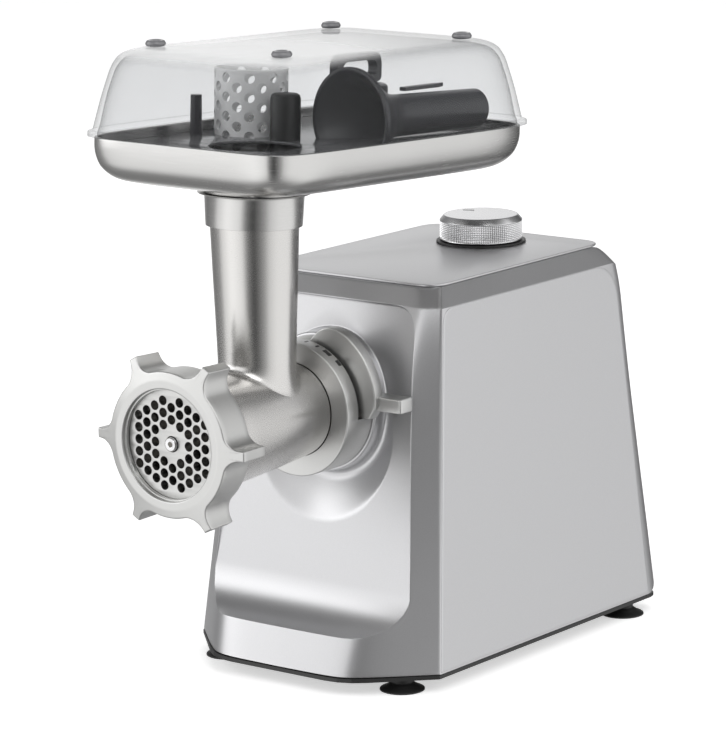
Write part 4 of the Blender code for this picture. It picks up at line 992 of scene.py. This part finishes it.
def feedTray(material):
    # upright rim, round foot, and a floor that slopes to the hole over the tube; the same again inside
    bends = [0, 0.3, 6, 5, 7, 8, 0]
    outer = millimetrePath([(1.2, 294.9), (0.5, 294.5), (0.5, 287.0), (2.8, 279.0), (9.0, 273.0),
                            (24.0, 269.8), (41.0, 268.4)], bends, 8)
    inner = millimetrePath([(1.2, 294.9), (2.0, 294.6), (2.0, 287.4), (4.3, 280.0), (10.0, 274.6),
                            (24.5, 271.4), (41.0, 270.0)], bends, 8)
    rings = [trayRing(inset, z) for inset, z in outer]
    rings += [neckRing(radius * mm, z * mm) for radius, z in
              ((27.0, 266.9), (26.4, 267.2), (26.2, 267.9), (26.6, 268.5))]
    rings += [trayRing(inset, z) for inset, z in inner[::-1]]
    mesh = gridMesh("tray_fine", leanBack(np.array(rings)), loop=True, sharp=40)
    addPiece("tray_fine", mesh, material, "tray", ["tray"])
    neck = np.array([(24.3, 249.4), (24.6, 249.0), (25.1, 249.2), (25.3, 252.0), (25.9, 264.6), (26.4, 265.6),
                     (29.2, 265.9), (29.5, 266.2), (29.4, 266.4), (22.4, 266.4), (22.2, 266.2),
                     (22.3, 265.4), (24.9, 265.2)]) * mm
    mesh = gridMesh("neck_fine", leanBack(turnedGrid(neck, 128, (0, tubeY, 0))), loop=True, sharp=40)
    addPiece("neck_fine", mesh, material, "tray", ["tray_neck"])


def clearLid(material, padMaterial):
    # a flange, leaning walls and a slightly crowned top; the inside is one wall thickness in
    outer = millimetrePath([(-2.3, 295.0), (-2.3, 297.8), (-0.3, 298.2), (3.2, 316), (7.0, 331),
                            (10.5, 337.4), (17, 340.0), (34, 340.5), (60, 340.9)],
                           [0, 0.8, 0.6, 6, 6, 3.5, 5, 8, 0], 6)
    inner = millimetrePath([(1.6, 295.0), (1.7, 297.0), (2.6, 300.0), (5.3, 316), (9.0, 330.2),
                            (12.4, 335.6), (18, 337.8), (34, 338.2), (60, 338.6)],
                           [0, 0.5, 0.8, 6, 6, 3.5, 5, 8, 0], 6)
    flange = [(-1.4, 294.7), (0.8, 294.7)]
    rings = [trayRing(inset, z) for inset, z in outer[::-1]]
    rings += [trayRing(inset * mm, z * mm) for inset, z in flange]
    rings += [trayRing(inset, z) for inset, z in inner]
    mesh = gridMesh("lid_fine", leanBack(np.array(rings)), sharp=50)
    addPiece("lid_fine", mesh, material, "lid", ["lid"])
    pad = np.array([(0.1, 343.1), (2.2, 343.2), (3.0, 343.9), (4.0, 344.0), (4.6, 343.7), (5.2, 342.7),
                    (5.4, 342.0), (5.0, 341.2), (4.7, 340.9), (0.1, 340.7)]) * mm
    for end in ("front", "rear"):
        for side in ("left", "right"):
            node = f"lid_pad_{end}_{side}"
            low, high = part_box(node)
            profile = pad - [0, 341 * mm - low[2] - 0.2 * mm]
            grid = turnedGrid(profile, 40, ((low[0] + high[0]) / 2, (low[1] + high[1]) / 2, 0))
            addPiece(f"{node}_fine", gridMesh(f"{node}_fine", grid, sharp=50), padMaterial, "lid", [node])


def storageInsert(material):
    # a thin shelf just under the rim that the stored pieces stand through, open over the neck
    edge = trayRing(3.0 * mm, 0)[::4, :2]
    hole = ringOf(24.0 * mm, 64) + [0, tubeY]
    shelf = plateMesh("insert_fine", [edge, hole], 288.4 * mm, 289.8 * mm, 0.3 * mm)
    addPiece("insert_fine", leanMesh(shelf), material, "tray")


def storedPieces(white, grey, black):
    # the drum, its hub, the horn and the pusher, standing and lying in the tray
    centre = np.array([-38 * mm, -48 * mm, 0])
    wall = np.array([(18.0, 278.4), (18.2, 278.0), (19.3, 278.0), (19.5, 278.3), (19.5, 324.7), (19.3, 325.0),
                     (18.2, 325.0), (18.0, 324.6)]) * mm
    drum = addPiece("drum_fine", gridMesh("drum_fine", turnedGrid(wall, 108, centre), loop=True), white,
                    "tray", ["grater_drum"])
    spots = [(column, (285 + 10.2 * row + 5.1 * (column % 2)) * mm) for column in range(18)
             for row in range(4)]
    verts, faces, base = [], [], 0
    for column, z in spots:
        turn = 2 * np.pi * column / 18 + 0.1
        circle = ringOf(2.75 * mm, 16)
        for reach in (15 * mm, 22 * mm):
            along = np.array([math.cos(turn), math.sin(turn), 0]) * reach
            across = np.array([-math.sin(turn), math.cos(turn), 0])
            verts.append(centre + along + circle[:, :1] * across + circle[:, 1:] * [0, 0, 1] + [0, 0, z])
        faces += (quadsOf(2, 16, False) + base).tolist()
        faces += [list(range(base, base + 16)), list(range(base + 16, base + 32))]
        base += 32
    cutter = makeMesh("drum_holes", np.concatenate(verts), np.array([f for f in faces if len(f) == 4]),
                      [f for f in faces if len(f) != 4])
    bakeCut(drum, helperPiece("drum_holes", cutter))
    leanMesh(drum.data)
    hub = np.array([(7.6, 272.6), (8.0, 273.0), (8.0, 311.2), (7.4, 313.2), (6.0, 314.0), (0.1, 314.0)]) * mm
    grid = leanBack(turnedGrid(hub, 64, (-7.5 * mm, -57.5 * mm, 0)))
    addPiece("hub_fine", gridMesh("hub_fine", grid), black, "tray", ["drum_hub"])
    horn = millimetrePath([(27.5, 0), (27.5, 3), (24.5, 4), (20, 12), (14, 22), (11.2, 30), (10.4, 96),
                           (8.9, 96), (9.6, 30), (12.3, 21), (18.4, 11), (22.8, 3), (25.5, 0)],
                          [0.8, 1.2, 1, 4, 5, 5, 0.7, 0.7, 5, 5, 4, 2, 0.8], closed=True)
    grid = turnedGrid(horn, 96, (0, 0, 0), "Y")
    turn = np.array(Matrix.Rotation(math.radians(-7), 3, "Z"))
    grid = grid @ turn.T + np.array([25, -45, 301.5]) * mm
    addPiece("horn_fine", gridMesh("horn_fine", leanBack(grid), loop=True), grey, "tray", ["stuffing_horn"])
    pusher = np.array([(15.0, 274.0), (15.5, 274.5), (15.5, 311.6), (15.0, 312.9), (14.0, 313.5),
                       (0.1, 313.5)]) * mm
    grid = leanBack(turnedGrid(pusher, 96, (-14 * mm, 14 * mm, 0)))
    addPiece("pusher_fine", gridMesh("pusher_fine", grid), grey, "tray", ["food_pusher"])


def feet(rubber):
    # suction cups: a thin lip, a bell, a neck with a ring, and a stem
    for name in ("foot_front_left", "foot_front_right", "foot_rear_left", "foot_rear_right"):
        low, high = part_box(name)
        centre = ((low[0] + high[0]) / 2, (low[1] + high[1]) / 2, 0)
        profile = millimetrePath([(0.1, 0.9), (9.0, 0.6), (11.6, 0.0), (12.0, 0.0), (12.0, 0.8),
                                  (8.6, 2.3), (7.0, 3.5), (6.0, 4.2), (6.0, 7.2), (0.1, 7.25)],
                                 [0, 2, 0.3, 0.3, 0.4, 1, 0.8, 0.5, 0.2, 0], 4)
        mesh = gridMesh(f"{name}_fine", turnedGrid(profile, 64, centre))
        addPiece(f"{name}_fine", mesh, rubber, "housing", [name])


def main():
    makeCamera()
    makeStudio()
    silver = grainPaint("silver paint", (0.56, 0.56, 0.57), 0.32)
    sheet = grainPaint("side sheet paint", (0.60, 0.60, 0.61), 0.42)
    steel = brushedSteel("turned steel", (0.80, 0.80, 0.81), 0.22, (1, 1, 6))
    stainless = brushedSteel("brushed stainless", (0.68, 0.67, 0.655), 0.26, (1, 1, 8))
    trayLook = brushedSteel("tray stainless", (0.65, 0.645, 0.635), 0.24, (0.1, 0.1, 3))
    cast = castMetal("cast aluminium", (0.66, 0.66, 0.65), 0.40)
    plate = brushedSteel("ground plate", (0.60, 0.60, 0.59), 0.34, (1, 1, 1), 700.0)
    dull = castMetal("auger casting", (0.22, 0.21, 0.19), 0.55)
    black = mouldedPlastic("black plastic", (0.018, 0.018, 0.018), 0.42)
    grey = mouldedPlastic("grey plastic", (0.035, 0.035, 0.04), 0.30)
    white = mouldedPlastic("white plastic", (0.85, 0.85, 0.85), 0.35)
    rubber = mouldedPlastic("black rubber", (0.012, 0.012, 0.012), 0.55)
    copper = brushedSteel("copper", (0.72, 0.36, 0.22), 0.35, (1, 8, 1))
    brass = brushedSteel("brass", (0.72, 0.55, 0.26), 0.30, (1, 8, 1))
    green = mouldedPlastic("board green", (0.02, 0.16, 0.07), 0.40)
    insert = mouldedPlastic("insert plastic", (0.13, 0.13, 0.135), 0.16)
    padLook = mouldedPlastic("pad plastic", (0.20, 0.20, 0.21), 0.12, 0.6)
    # the lid's dark wall colour is painted shade at its edges, and its near-white top colour is painted light
    clear = clearPlastic("clear plastic", (0.11, 0.112, 0.115), (0.95, 0.95, 0.95), 0.03, 0.74)
    looks = {"silver_paint": silver, "stainless": stainless, "cast_metal": cast, "machined_steel": steel,
             "black_plastic": black, "grey_plastic": grey, "white_plastic": white, "foot_rubber": rubber,
             "clear_plastic": clear, "copper_wire": copper, "brass_bush": brass, "board_green": green}
    slots = {part["node"]: part["material_slot"] for part in frame["record"]["subparts"]}
    for node, slot in slots.items():
        obj = bpy.data.objects[node]
        obj.data.materials.clear()
        obj.data.materials.append(dull if node in ("auger", "cutting_knife") else looks[slot])
    print("materials made")
    housingShell(silver)
    sidePanels(sheet)
    topPanel(silver)
    feet(rubber)
    print("housing made")
    speedKnob(steel, black)
    socketCollar(cast, black)
    lockLever(cast)
    print("knob, collar and lever made")
    grindingHead(stainless)
    ringNut(cast)
    perforatedPlate(plate)
    screwPin(steel)
    print("grinding head made")
    feedTray(trayLook)
    storageInsert(insert)
    storedPieces(white, grey, black)
    clearLid(clear, padLook)
    print("tray, lid and stored pieces made")


main()
